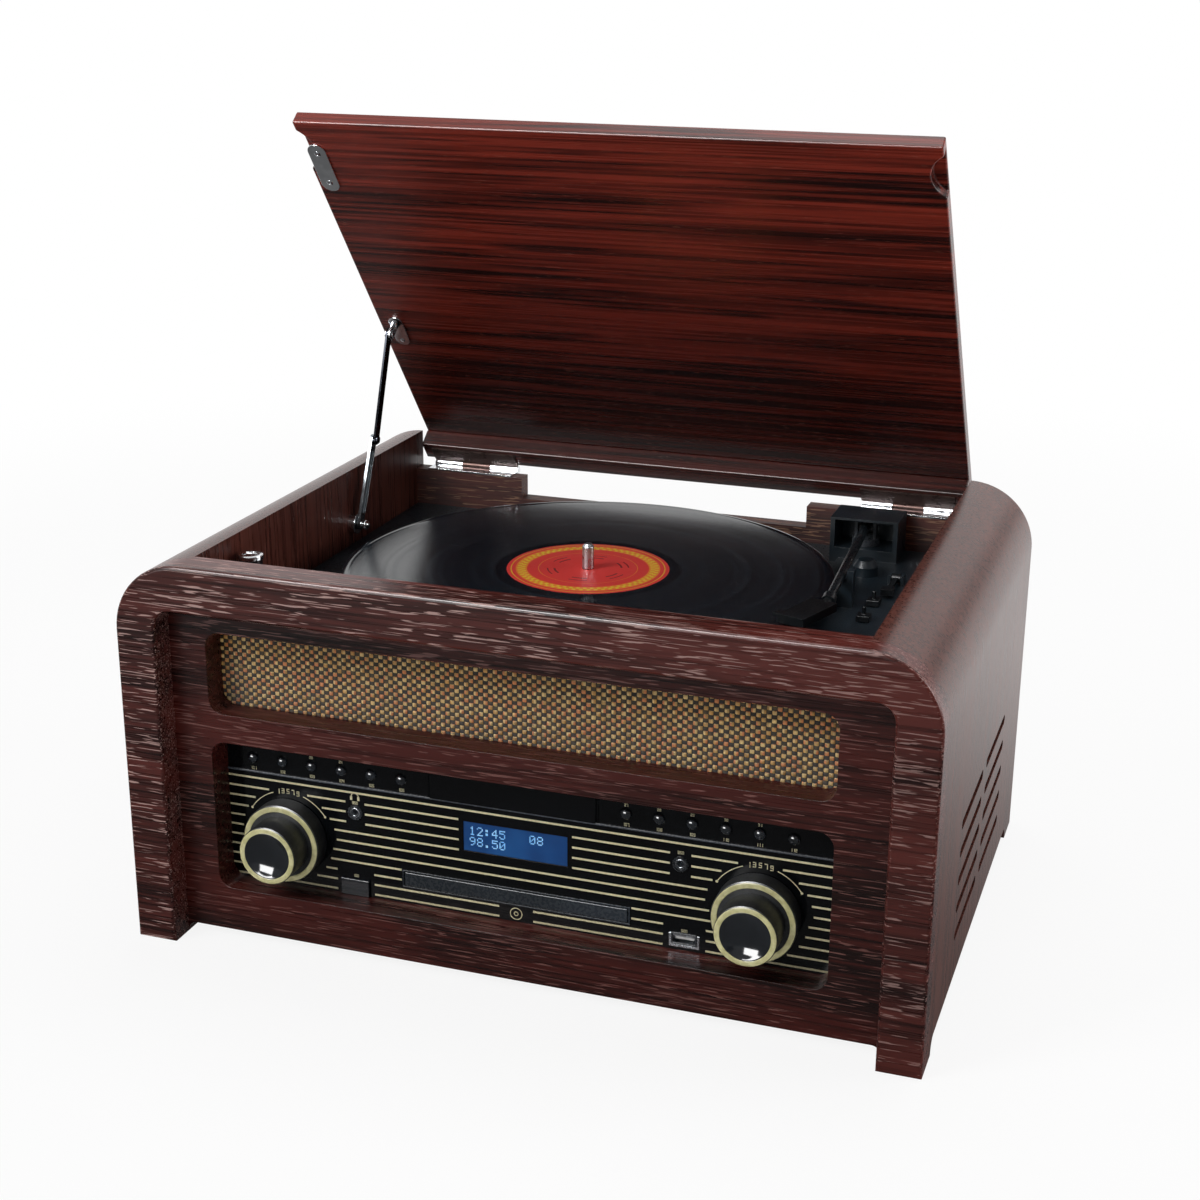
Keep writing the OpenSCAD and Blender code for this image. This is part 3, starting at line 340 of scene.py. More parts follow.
carried("grille_board", material("black_board", soot, Roughness=0.8), 0.0004)

# The lid.
# One foiled board, hinged at the back, with a batten under its rear edge for the hinges and two blind
# finger recesses at its front corners. The underside shows long dark streaks in red-brown wood.


def lid_grain(s):
    """Long fine streaks along the board, with a few short pores, and a painted shade that darkens it towards
    the hinges.
    """
    p = s.place()
    figure = p.stretched(2.2, 34, 34).noise(1, 3, 0.6, 1.2)
    lines = p.stretched(3.5, 330, 330).noise(1, 3, 0.65)
    dark = p.stretched(6, 190, 190).noise(1, 2, 0.5).step(0.56, 0.68)
    red = (figure * 0.45 + lines * 0.55).step(0.36, 0.64).mix(tint("240906"), tint("8a2f20"))
    # Painted shade: the open lid grows darker towards its foot at the hinges, down to 150504.
    low = p.axis("Z").step(0.23, 0.44, 0.62, 0.0)
    cut = p.stretched(110, 1700, 1700).noise(1, 1, 0.35).step(0.72, 0.78) * 0.4
    wood = low.mix((dark * 0.75).mix(red, tint("170605")), tint("150504"))
    return {"Base Color": cut.mix(wood, tint("b06a58")), "Roughness": lines * 0.1 + 0.22,
            "Height": ((1 - cut) + lines * 0.3, 0.2, 0.0003)}


lid_wood = material("rosewood_lid", lid_grain, Specular_IOR_Level=0.4)
carried("lid_board", lid_wood, 0.0011, steps=3)
carried("lid_batten", lid_wood, 0.0009)

# Hinges, stay, catch and screws.
# Pressed and turned steel with bright nickel or chrome plating. The stay is two riveted arms between a
# stud in the wall and a bracket under the lid, and the catch is a dark post with a bright cap.


def plated(code, low, high):
    def recipe(s):
        p = s.place()
        cloud = p.noise(160, 3)
        scuffs = p.stretched(300, 2600, 300).noise(1, 2)
        return {"Base Color": cloud.step(0.3, 0.7).mix(tint(code, 0.86), tint(code)),
                "Roughness": (cloud * 0.5 + scuffs * 0.5).step(0.35, 0.65, low, high),
                "Height": (scuffs, 0.04, 0.0001)}
    return recipe


chrome = material("bright_chrome", plated("dfe1e4", 0.06, 0.16), Metallic=1.0)
steel = material("brushed_steel", plated("b9bcc0", 0.22, 0.38), Metallic=1.0)
dark_steel = material("dark_chrome", plated("2c2e33", 0.1, 0.22), Metallic=1.0)
for node in ("hinge_lower_leaves", "strike_plate", "stay_lid_bracket"):
    carried(node, chrome, 0.0003)
# The upper leaves are painted dark red-brown: a painted reflection of the lid's wood in their plating.
lid_reflection_steel = material("lid_reflection_steel", plated("3a2a26", 0.25, 0.4), Metallic=0.8)
carried("hinge_upper_leaves", lid_reflection_steel, 0.0003)
bright_channel = material("bright_channel", plated("8b9196", 0.12, 0.24), Metallic=1.0)
carried("stay_lower_arm", bright_channel, 0.0004, steps=3)
carried("stay_upper_arm", dark_steel, 0.0003)
carried("stay_wall_stud", chrome, 0.0009, steps=3)
carried("panel_screws", steel, 0.0004)


def turned(name, profile, centre, axis="z", steps=96):
    """A turned piece: a profile of (radius, height) in millimetres, spun round an axis.
    Heights along y count towards the front."""
    bm = bmesh.new()
    rings = []
    for radius, height in profile:
        ring = []
        for k in range(1 if radius < 1e-6 else steps):
            a = 2 * math.pi * k / steps
            u, v, h = radius * math.cos(a) * MM, radius * math.sin(a) * MM, height * MM
            flat = {"z": (u, v, h), "y": (u, -h, v), "x": (h, u, v)}[axis]
            ring.append(bm.verts.new(Vector(centre) + Vector(flat)))
        rings.append(ring)
    for low, high in zip(rings, rings[1:]):
        for k in range(steps):
            corners = [low[k % len(low)], low[(k + 1) % len(low)],
                       high[(k + 1) % len(high)], high[k % len(high)]]
            unique = list(dict.fromkeys(corners))
            if len(unique) > 2:
                bm.faces.new(unique)
    bmesh.ops.recalc_face_normals(bm, faces=bm.faces)
    return from_bmesh(name, bm)


LEAN = math.radians(51)
KNUCKLE = 0.003
leaves_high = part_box("hinge_lower_leaves")[1]
HINGE = Vector((0, leaves_high.y - KNUCKLE, leaves_high.z - KNUCKLE))


def on_lid(obj):
    """Tips a piece that was made under the closed lid back with the open one."""
    turn = Matrix.Translation(HINGE) @ Matrix.Rotation(-LEAN, 4, "X") @ Matrix.Translation(-HINGE)
    obj.data.transform(turn)
    return obj


stud_low, stud_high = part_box("stay_wall_stud")
stud = (stud_low + stud_high) / 2
knob = turned("stay_knob", [(0, 4.4), (1.5, 4.2), (2.6, 3.5), (3.2, 2.4), (3.2, 1.6), (2.6, 0.6),
                            (2.0, 0.2), (2.0, 0), (0, 0)], (stud_high.x, stud.y, stud.z), "x", 32)
finished(knob, chrome, "cabinet")
UNDER = HINGE.z + 0.0145
PIVOT_X, STRIKE_X, BRACKET_X = -0.1839, -0.1843, -0.1804
pin = turned("stay_pivot_head", [(0, 1.5), (1.4, 1.35), (2.4, 0.9), (2.9, 0.3), (2.9, 0), (0, 0)],
             (PIVOT_X, FRONT + 0.214, UNDER - 0.005), "x", 32)
finished(on_lid(pin), chrome, "lid")
SCREW_HEAD = [(0, -0.2), (0.6, -0.25), (0.9, -0.5), (1.7, -0.35), (2.1, 0.0), (2.1, 0.2), (0, 0.2)]
for k, (x, y, drop) in enumerate(((STRIKE_X, 0.054, 0.001), (STRIKE_X, 0.078, 0.001),
                                  (BRACKET_X, 0.206, 0.0012), (BRACKET_X, 0.224, 0.0012))):
    head = turned(f"lid_screw_{k + 1}", SCREW_HEAD, (x, FRONT + y, UNDER - drop), steps=24)
    finished(on_lid(head), steel, "lid")
catch_low, catch_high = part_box("lid_catch")
CATCH = (catch_low + catch_high) / 2
tall = (catch_high.z - catch_low.z) / MM
column = turned("catch_column", [(6.8, 0), (6.8, tall - 3.0), (6.0, tall - 3.0), (6.0, 0), (6.8, 0)],
                (CATCH.x, CATCH.y, catch_low.z), steps=48)
catch_dark = material("catch_dark", plated("2a2226", 0.2, 0.3), Metallic=0.5)
finished(column, catch_dark, "cabinet", ["lid_catch"])
cap = turned("catch_cap", [(0, tall - 0.8), (4.2, tall - 0.8), (4.9, tall - 0.1), (6.2, tall),
                           (7.2, tall - 0.25), (7.5, tall - 0.9), (7.5, tall - 2.6), (7.1, tall - 3.0),
                           (0, tall - 3.0)],
             (CATCH.x, CATCH.y, catch_low.z), steps=64)
finished(cap, chrome, "cabinet")

# The record deck.
# A moulded black deck with a sunken ring for the platter. The platter is cast, with a belt track under
# it, and carries a felt mat and a pressed record, over a ground steel spindle.


def moulded(low, high, shine=(0.32, 0.46), grain=900, depth=0.12):
    """Black moulded plastic with a fine cast grain."""
    def recipe(s):
        p = s.place()
        cast = p.noise(grain, 2)
        return {"Base Color": p.noise(14, 2).step(0.35, 0.65).mix(tint(low), tint(high)),
                "Roughness": cast.step(0.3, 0.7, *shine), "Height": (cast, depth, 0.0002)}
    return recipe


deck_black = material("deck_black", moulded("12191e", "1c262d", (0.26, 0.4)), Specular_IOR_Level=0.3)
carried("turntable_deck", deck_black, 0.0006)
carried("platter", material("platter_metal", moulded("232528", "303338", (0.3, 0.4))), 0.0006)


def felt(s):
    p = s.place()
    return {"Base Color": p.noise(700, 3).step(0.3, 0.7).mix(tint("15171a"), tint("2a2c30")),
            "Roughness": p.noise(900, 2) * 0.1 + 0.88, "Height": (p.noise(2200, 2), 0.5, 0.0004)}


carried("slip_mat", material("black_felt", felt), 0.0006)
SPINDLE = (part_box("spindle")[0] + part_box("spindle")[1]) / 2
RECORD_LOW, RECORD_TOP = (corner.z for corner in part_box("record"))
GROOVES_IN, GROOVES_OUT = 0.056, 0.1455


def from_spindle(p):
    """How far a point lies from the spindle: along x, along y and straight."""
    x = p.axis("X") - SPINDLE.x
    y = p.axis("Y") - SPINDLE.y
    square = x * x + y * y
    return x, y, square.sums("SQRT", square)


def pressed(s):
    """Vinyl: the grooves catch light in rings, in bands that differ from song to song."""
    p = s.place()
    r = from_spindle(p)[2]
    ring = s.node("CombineXYZ", (), {"X": r, "Y": 0.0, "Z": 0.0})
    bands = ring.noise(190, 2, 0.6)
    cut = ring.noise(3200, 1)
    dust = p.noise(1500, 2).step(0.72, 0.80)
    grooved = (r > GROOVES_IN) * (1 - (r > GROOVES_OUT))
    blue_black = bands.step(0.3, 0.75).mix(tint("0b141a"), tint("14222b"))
    return {"Base Color": (dust * 0.2).mix(blue_black, tint("59636b")),
            "Roughness": bands.step(0.3, 0.7, 0.17, 0.24) * grooved + (1 - grooved) * 0.1 + dust * 0.2,
            "Height": (cut * grooved, 0.1, 0.0002)}


RIM, HOLE = 150.8, 3.62
TOP = (RECORD_TOP - RECORD_LOW) / MM
record = turned("record_pressed", [
    (HOLE, 0), (RIM - 1.2, 0), (RIM - 0.3, 0.3), (RIM, 0.8), (RIM, TOP - 0.8), (RIM - 0.3, TOP - 0.25),
    (RIM - 1.2, TOP), (RIM - 3.2, TOP), (RIM - 4.2, TOP - 0.3), (54.5, TOP - 0.3), (51.2, TOP),
    (HOLE, TOP), (HOLE, 0)
], (SPINDLE.x, SPINDLE.y, RECORD_LOW), steps=256)
vinyl = material("pressed_vinyl", pressed, Specular_IOR_Level=0.7)
finished(record, vinyl, "turntable", ["record"], 20)

# The record's label.
# A disc of coated paper pressed into the middle of the record: red, with rings, checks and bars in
# orange, yellow and dark ink. Its pattern is a plain one of this part's own.


def label_print(s):
    p = s.place()
    x, y, r = from_spindle(p)
    turn = y.sums("ARCTAN2", y, x) * (1 / (2 * math.pi))
    yellow, orange, ink, red = tint("f6cf35"), tint("f58a2c"), tint("5a1210"), tint("ea3a35")

    def ring(low, high):
        return (r > low) * (1 - (r > high))

    checks = (((turn * 60) % 1) > 0.5) * ring(0.0385, 0.0410)
    others = (((turn * 60 + 0.5) % 1) > 0.5) * ring(0.0410, 0.0435)
    bars = r.sums("MAXIMUM", ring(0.020, 0.0212), ring(0.0245, 0.0253))
    bars = bars * (((turn * 6 + 0.2) % 1) > 0.55)
    base = ring(0.0375, 0.0445).mix(red, orange)
    base = (checks + others).mix(base, yellow)
    base = ring(0.0470, 0.0476).mix(base, yellow)
    base = ring(0.0302, 0.0307).mix(base, orange)
    base = (bars * 0.85).mix(base, ink)
    return {"Base Color": base, "Roughness": p.noise(500, 2) * 0.1 + 0.38,
            "Height": (p.noise(2500, 2), 0.15, 0.0002)}


label = turned("record_label", [(HOLE, 0), (49.6, 0), (50, 0.04), (49.6, 0.08), (10, 0.08), (HOLE, 0.08),
                                (HOLE, 0)], (SPINDLE.x, SPINDLE.y, RECORD_TOP), steps=128)
finished(label, material("label_paper", label_print), "turntable")
carried("spindle", steel, 0.0006, steps=3)

# The motor, its pulley and the belt, under the deck.
# A small drawn-steel motor hangs under the deck, and its brass pulley turns the platter by a flat
# rubber belt.
carried("turntable_motor", steel, 0.0006)
carried("motor_pulley", material("turned_brass", plated("c59b4e", 0.2, 0.32), Metallic=1.0), 0.0002)
rubber = material("belt_rubber", moulded("121212", "1d1d1e", (0.6, 0.75), 1500))
carried("drive_belt", rubber, 0.00008)

# The tonearm.
# A thin black tube pivots in a moulded housing at the back, and ends in a collar and an angled headshell
# with a finger lift. Beside it stand a lift lever, two slide switches and the arm's rest.
shell_black = material("shell_black", moulded("0b0f12", "151b20", (0.3, 0.4), 900, 0.05),
                       Specular_IOR_Level=0.25)
arm_black = material("arm_black", moulded("12171b", "1c2328", (0.24, 0.34), 700, 0.05),
                     Specular_IOR_Level=0.3)
housing_black = material("housing_black", moulded("172026", "28343d", (0.28, 0.4)),
                         Specular_IOR_Level=0.35)
carried("tonearm_base", housing_black, 0.0012, steps=3)
carried("arm_yoke", material("yoke_grey", moulded("3c4046", "4c5157", (0.25, 0.35))), 0.0006)
carried("tonearm", arm_black, 0.0007)
carried("headshell", shell_black, 0.0009)
for node in ("cue_lever", "speed_selector", "stop_switch"):
    carried(node, shell_black, 0.0006)

# The grille cloth.
# Stiff woven cloth stretched over the board: thick gold and tan weft that shows as small pads in
# columns, each next column half a step on, with dark and olive warp between them.
cloth_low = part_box("grille_cloth")[0]
GRILLE_L, GRILLE_E = -0.1885, 0.1808
GRILLE_LOW, GRILLE_HIGH = 0.1455, 0.1948
PAD_X, PAD_Z = 0.0029, 0.0024
PILLOW = (-1, -0.62, 0.62, 1)


def woven(s):
    """Each pad takes its own colour from its place in the weave."""
    p = s.place()
    cell = p.node("VectorMath", {"operation": "SNAP"}, {0: p.stretched(1, 0, 1), 1: (PAD_X, 1.0, PAD_Z)})
    lot = cell.node("TexWhiteNoise", {"noise_dimensions": "3D"}, {"Vector": cell}, "Value")
    other = cell.stretched(7.7, 1, 3.1)
    second = other.node("TexWhiteNoise", {"noise_dimensions": "3D"}, {"Vector": other}, "Value")
    gold = lot.step(0.1, 0.9).mix(tint("d29a45"), tint("f2cf86"))
    gold = (second > 0.74).mix(gold, tint("e08a48"))
    gold = (second.step(0.0, 0.2, 0.5, 0.0)).mix(gold, tint("9a7638"))
    thread = p.stretched(2600, 1, 420).noise(1, 2)
    return {"Base Color": (thread.step(0.42, 0.62, 0.2, 0.0)).mix(gold, tint("6f5223")),
            "Roughness": thread * 0.15 + 0.62, "Height": (thread, 0.4, 0.0003)}


def ground(s):
    p = s.place()
    thread = p.stretched(420, 1, 2400).noise(1, 2)
    shade = thread.step(0.35, 0.65).mix(tint("0c0906"), tint("3a2f1c"))
    return {"Base Color": p.noise(260, 1).step(0.5, 0.65).mix(shade, tint("4a3c20")),
            "Roughness": thread * 0.1 + 0.78, "Height": (thread, 0.5, 0.0004)}


def pads(name, half_w, half_h, rise, odd):
    """The crossings of one set of threads, as small pillows standing proud of the cloth."""
    bm = bmesh.new()
    base = cloth_low.y
    column = 0
    x = GRILLE_L
    while x < GRILLE_E:
        z = GRILLE_LOW + (PAD_Z if (column + odd) % 2 else 0.0)
        while z < GRILLE_HIGH:
            grid = []
            for u in PILLOW:
                for v in PILLOW:
                    inner = abs(u) < 1 and abs(v) < 1
                    corner = abs(u) == 1 and abs(v) == 1
                    y = base - (rise if inner else (-0.0001 if corner else rise * 0.3))
                    narrow = 0.9 if abs(v) == 1 else 1
                    grid.append(bm.verts.new((x + u * half_w * narrow, y, z + v * half_h)))
            for i in range(3):
                for j in range(3):
                    k = i * 4 + j
                    bm.faces.new((grid[k], grid[k + 4], grid[k + 5], grid[k + 1]))
            z += 2 * PAD_Z
        x += PAD_X
        column += 1
    return from_bmesh(name, bm)


weft = pads("grille_cloth_pads", 0.00125, 0.00122, 0.0008, 0)
finished(weft, material("gold_weft", woven), "cabinet", angle=80)
warp = pads("grille_cloth_warp", 0.0011, 0.0010, 0.0003, 1)
finished(warp, material("dark_warp", ground), "cabinet", angle=80)
carried("grille_cloth", material("dark_ground", ground), 0.0002)

# The control fascia.
# A glossy black moulded plate behind the lower window. A strip along its top holds the push buttons,
# with a grey ledge under it and a raised bare block in its middle.
gloss_black = material("gloss_black", moulded("07080a", "0b0d10", (0.10, 0.17), 420, 0.03),
                       Specular_IOR_Level=0.3)
carried("control_fascia", gloss_black, 0.0001)
PLATE_LOW, PLATE_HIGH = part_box("control_fascia")
FASCIA = PLATE_LOW.y
MARGIN = 0.008
WINDOW_L, WINDOW_E = PLATE_LOW.x + MARGIN, PLATE_HIGH.x - MARGIN
SILL = PLATE_LOW.z + MARGIN


def block(bm, low, high, ease=0.0, steps=2):
    """A box between two corners, with its edges eased."""
    made = bmesh.ops.create_cube(bm, size=1)["verts"]
    for v in made:
        v.co = Vector([low[i] if v.co[i] < 0 else high[i] for i in range(3)])
    if ease:
        edges = list({e for v in made for e in v.link_edges})
        bmesh.ops.bevel(bm, geom=edges, offset=ease, segments=steps, profile=0.5, affect="EDGES")


def blocks(name, *boxes):
    """A piece made of boxes, each given as two corners, its ease and, if need be, its steps."""
    bm = bmesh.new()
    for box in boxes:
        block(bm, *box)
    return from_bmesh(name, bm)


ledge_grey = material("ledge_grey", moulded("3a3e45", "4a4f57", (0.2, 0.3), 500, 0.03))
ROOT = FASCIA + 0.0005
STRIP_LOW, STRIP_HIGH = 0.1038, 0.1205
ledge = blocks("strip_ledge", ((WINDOW_L - 0.006, FASCIA - 0.0011, 0.1030), (WINDOW_E + 0.006, ROOT, 0.1042),
                               0.0003))
finished(ledge, ledge_grey, "cabinet")
strip = blocks("strip_block", ((-0.0585, FASCIA - 0.0014, STRIP_LOW), (0.0425, ROOT, STRIP_HIGH), 0.0006, 3),
               *(((x - 0.0004, FASCIA - 0.0008, STRIP_LOW), (x + 0.0004, ROOT, STRIP_HIGH), 0.0002)
                 for x in (-0.0594, 0.0434)))
finished(strip, gloss_black, "cabinet")

# The printing on the fascia.
# Cream ink, screen-printed on the plate: fine level stripes that stop short of whatever stands in their
# way, an arc with dots over each dial, and plain numbers and bars by the buttons and sockets.
VOLUME, TUNING = -0.150, 0.1373
DIAL_Z, JACK_Z = SILL + 0.0312, SILL + 0.0533
PHONES, LINE_IN, USB_X = -0.1065, 0.092, 0.095
POWER_X, POWER_Z = -0.1075, SILL + 0.0053
FIRST_LEFT, FIRST_RIGHT, BUTTON_PITCH = -0.1721, 0.060, 0.0191
SIGN_X, SIGN_Z = -0.0060, 0.0386
ARC, STRIPES, STRIPE_TOP, STRIPE_PITCH = 0.0286, 11, 0.0993, 0.00639


def cream(s):
    p = s.place()
    return {"Base Color": p.noise(900, 2).step(0.3, 0.7).mix(tint("d9cfa0"), tint("efe6bd")),
            "Roughness": p.noise(600, 1) * 0.1 + 0.4}


cream_ink = material("cream_ink", cream)
INK = FASCIA - 0.00012


def strip_of(bm, x0, x1, z0, z1):
    """One printed patch, a hair proud of the plate."""
    block(bm, (x0, INK, z0), (x1, INK + 0.0002, z1))


def gaps_at(z):
    """The stretches of a stripe at height z that stay clear of the dials, sockets and windows."""
    taken = []
    for x in (VOLUME, TUNING):
        up = z - DIAL_Z
        reach = 0.0285 if up < 0 else 0.0309
        if abs(up) < reach:
            half = math.sqrt(reach ** 2 - up ** 2)
            taken.append((x - half, x + half))
    # Middle, foot, head and half width of the two jacks, the display, the drawer, the sign under it,
    # the power button and the data port.
    for x, low, high, half in ((PHONES, 0.0775, 0.0955, 0.0062), (LINE_IN, 0.0775, 0.0955, 0.0062),
                               (-0.0065, 0.0708, 0.0952, 0.0347), (-0.007, 0.0460, 0.0560, 0.0708),
                               (SIGN_X, 0.0330, 0.0440, 0.0105), (POWER_X, 0.0300, 0.0535, 0.0120),
                               (USB_X, 0.0300, 0.0545, 0.0125)):
        if low < z < high:
            taken.append((x - half, x + half))
    return sorted(taken)


bm = bmesh.new()
for k in range(STRIPES):
    z = STRIPE_TOP - STRIPE_PITCH * k
    start = WINDOW_L - 0.004
    for low, high in gaps_at(z) + [(WINDOW_E + 0.004, 1)]:
        if low - start > 0.003:
            strip_of(bm, start, low, z - 0.0006, z + 0.0006)
        start = max(start, high)
finished(from_bmesh("printed_stripes", bm), cream_ink, "cabinet")


def arc_of(bm, x, z, radius, width, start, end, steps=40):
    """A printed arc about a point of the plate, between two angles in degrees from upright."""
    rows = []
    for k in range(steps + 1):
        a = math.radians(start + (end - start) * k / steps)
        rows.append([bm.verts.new((x + r * math.sin(a), y, z + r * math.cos(a)))
                     for r, y in ((radius - width / 2, INK + 0.0002), (radius - width / 2, INK),
                                  (radius + width / 2, INK), (radius + width / 2, INK + 0.0002))])
    for one, two in zip(rows, rows[1:]):
        for k in range(3):
            bm.faces.new((one[k], one[k + 1], two[k + 1], two[k]))


def dot_of(bm, x, z, radius, steps=16):
    centre = bm.verts.new((x, INK, z))
    ring = [bm.verts.new((x + radius * math.sin(2 * math.pi * k / steps), INK,
                          z + radius * math.cos(2 * math.pi * k / steps))) for k in range(steps)]
    for k in range(steps):
        bm.faces.new((centre, ring[k], ring[(k + 1) % steps]))


bm = bmesh.new()
for x in (VOLUME, TUNING):
    arc_of(bm, x, DIAL_Z, ARC, 0.0005, -57, -20)
    arc_of(bm, x, DIAL_Z, ARC, 0.0005, 20, 55)
    for a in (-58, 56):
        m = math.radians(a)
        dot_of(bm, x + ARC * math.sin(m), DIAL_Z + ARC * math.cos(m), 0.0008)
DIGITS = {"0": "abcdef", "1": "bc", "2": "abged", "3": "abgcd", "4": "fgbc", "5": "afgcd", "6": "afgedc",
          "7": "abc", "8": "abcdefg", "9": "abcdfg"}
BARS = {"a": (0, 2, 1, 2), "b": (1, 1, 1, 2), "c": (1, 0, 1, 1), "d": (0, 0, 1, 0), "e": (0, 0, 0, 1),
        "f": (0, 1, 0, 2), "g": (0, 1, 1, 1)}


def number_of(bm, text, x, z, height, pen):
    """Plain numbers of straight strokes, centred on x, with their foot at z."""
    wide = height * 0.5
    pitch = wide * 1.7
    left = x - (len(text) * pitch - (pitch - wide)) / 2
    for digit in text:
        for bar in DIGITS[digit]:
            x0, z0, x1, z1 = BARS[bar]
            strip_of(bm, left + x0 * wide - pen / 2, left + x1 * wide + pen / 2,
                     z + z0 * height / 2 - pen / 2, z + z1 * height / 2 + pen / 2)
        left += pitch


for i in range(6):
    for x, first in ((FIRST_LEFT + BUTTON_PITCH * i, 101), (FIRST_RIGHT + BUTTON_PITCH * i, 107)):
        number_of(bm, str(first + i), x, 0.1049, 0.0016, 0.0003)
        if first == 107 and i < 5 or first == 101 and i in (2, 3):
            number_of(bm, str(first + i - 80), x, 0.1169, 0.0014, 0.0003)
for x in (VOLUME, TUNING):
    for k, a in enumerate((-13, -6.5, 0, 6.5, 13)):
        m = math.radians(a)
        number_of(bm, str(2 * k + 1), x + 0.0290 * math.sin(m), DIAL_Z + 0.0276 * math.cos(m), 0.0027, 0.0005)
arc_of(bm, PHONES, JACK_Z + 0.0098, 0.0024, 0.0005, -100, 100, 20)
for ear in (PHONES - 0.0023, PHONES + 0.0023):
    strip_of(bm, ear - 0.0007, ear + 0.0007, JACK_Z + 0.0078, JACK_Z + 0.0102)
for text, x, z in (("350", PHONES, JACK_Z + 0.0054), ("350", LINE_IN, JACK_Z + 0.0062),
                   ("100", POWER_X, POWER_Z + 0.0062), ("500", USB_X, 0.0450)):
    number_of(bm, text, x, z, 0.0015, 0.0003)
arc_of(bm, SIGN_X, SIGN_Z, 0.0036, 0.0005, 0, 360)
arc_of(bm, SIGN_X, SIGN_Z, 0.0012, 0.0005, 0, 360, 20)
finished(from_bmesh("printed_marks", bm), cream_ink, "cabinet")

# The push buttons and the power button.
# Twelve moulded black caps with a domed, polished front, each on a stem to its key switch, and one
# broad rectangular key for the power.
cap_black = material("cap_black", moulded("181c21", "262c33", (0.08, 0.14), 300, 0.01),
                     Specular_IOR_Level=1.0)
dome = [math.radians(t) for t in (15, 30, 45, 60, 72)]
for side in ("left", "right"):
    for i in range(6):
        node = f"{side}_button_{i + 1}"
        low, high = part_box(node)
        x, z, deep = (low.x + high.x) / 2, (low.z + high.z) / 2, (high.y - low.y) / MM
        cap = [(0, 0)] + [(3.3 * math.sin(a), -2.0 * (1 - math.cos(a))) for a in dome]
        cap += [(3.3, -1.9), (3.3, -5.6), (4.5, -5.7), (4.5, -6.7), (1.6, -6.8), (1.6, -deep), (0, -deep)]
        button = turned(f"{side}_cap_{i + 1}", cap, (x, low.y, z), "y", 32)
        finished(button, cap_black, f"{node}_body", [node], 50)
carried("power_button", cap_black, 0.0009, steps=3)

# The dials.
# Two stepped dials of black moulding with knurled rims, a cream ring let into the front of each tier,
# and a polished dished face.


def knurl(s):
    p = s.place()
    return {"Base Color": p.noise(500, 2).step(0.3, 0.7).mix(tint("121316"), tint("26292d")),
            "Roughness": p.noise(900, 2) * 0.15 + 0.3, "Height": (p.noise(1800, 2), 0.2, 0.0002)}


knurled_black = material("knurled_black", knurl, Specular_IOR_Level=0.7)
ring_cream = material("ring_cream", lambda s: {
    "Base Color": s.place().noise(300, 2).step(0.3, 0.7).mix(tint("cfc98d"), tint("e6e0aa")),
    "Roughness": s.place().noise(700, 2) * 0.1 + 0.3}, Coat_Weight=0.3)
face_black = material("face_polished", moulded("14181d", "20252c", (0.06, 0.1), 300, 0.01),
                      Specular_IOR_Level=1.0)


def tier(name, x, radius, low, high, teeth, rows, pocket=0):
    """One knurled tier: a band of small diamonds between two plain lips, standing from low to high."""
    bm = bmesh.new()
    count = teeth * 2
    heights = [low] + [low + 0.3 + (high - low - 1.4) * k / rows for k in range(rows + 1)]
    heights += [high - 0.6, high]

    def point(k, r, height):
        a = math.pi * k / teeth
        return bm.verts.new((x + r * MM * math.cos(a), FASCIA - height * MM, DIAL_Z + r * MM * math.sin(a)))

    def reach(k, h):
        if h == 0:
            return radius - 0.5
        if h == len(heights) - 1:
            return radius - 0.6
        return radius - 0.45 if h <= rows + 1 and (k + h) % 2 else radius

    rings = [[point(k, reach(k, h), height) for k in range(count)] for h, height in enumerate(heights)]
    for depth in (0, 4.5) if pocket else ():
        rings.append([point(k, pocket, high - depth) for k in range(count)])
    for one, two in zip(rings, rings[1:]):
        for k in range(count):
            bm.faces.new((one[k], one[(k + 1) % count], two[(k + 1) % count], two[k]))
    bm.faces.new(rings[-1])
    bm.faces.new(list(reversed(rings[0])))
    bmesh.ops.recalc_face_normals(bm, faces=bm.faces)
    return from_bmesh(name, bm)


for name, x in (("volume", VOLUME), ("tuning", TUNING)):
    centre = (x, FASCIA, DIAL_Z)
    skirt = tier(f"{name}_skirt", x, 24.4, 0.3, 12.2, 90, 12)
    finished(skirt, knurled_black, name, [f"{name}_knob"], 25)
    front = tier(f"{name}_front", x, 17.9, 12.1, 29.3, 68, 17, 14.5)
    finished(front, knurled_black, name, angle=25)
    shaft = turned(f"{name}_shaft", [(0, 0.5), (3, 0.5), (3, -15.5), (2.6, -16), (0, -16)], centre, "y", 32)
    finished(shaft, steel, name)
    for part, r0, r1, h in (("outer", 20.6, 23.8, 12.2), ("inner", 14.4, 17.45, 29.25)):
        ring = turned(f"{name}_{part}_ring", [
            (r0, h - 0.3), (r0, h + 0.15), (r0 + 0.35, h + 0.4), (r1 - 0.45, h + 0.4), (r1, h + 0.1),
            (r1, h - 0.3), (r0, h - 0.3)], centre, "y", 96)
        finished(ring, ring_cream, name)
    dish = turned(f"{name}_face", [
        (0, 26.0), (3, 26.12), (6, 26.5), (8.5, 27.1), (10.5, 27.8), (12.2, 28.6), (13.5, 29.3), (14.2, 29.5),
        (14.4, 29.4), (14.4, 26), (0, 25.5)], centre, "y", 96)
    finished(dish, face_black, name, angle=60)

# The display.
# A liquid crystal module behind the fascia: a blue backlit field under a clear black-edged window, with
# characters of small square dots.


def backlight(s):
    p = s.place()
    across = p.noise(28, 2).step(0.3, 0.7).mix(tint("103f7a"), tint("195595"))
    return {"Base Color": across, "Emission Color": across, "Roughness": p.noise(400, 1) * 0.05 + 0.18}


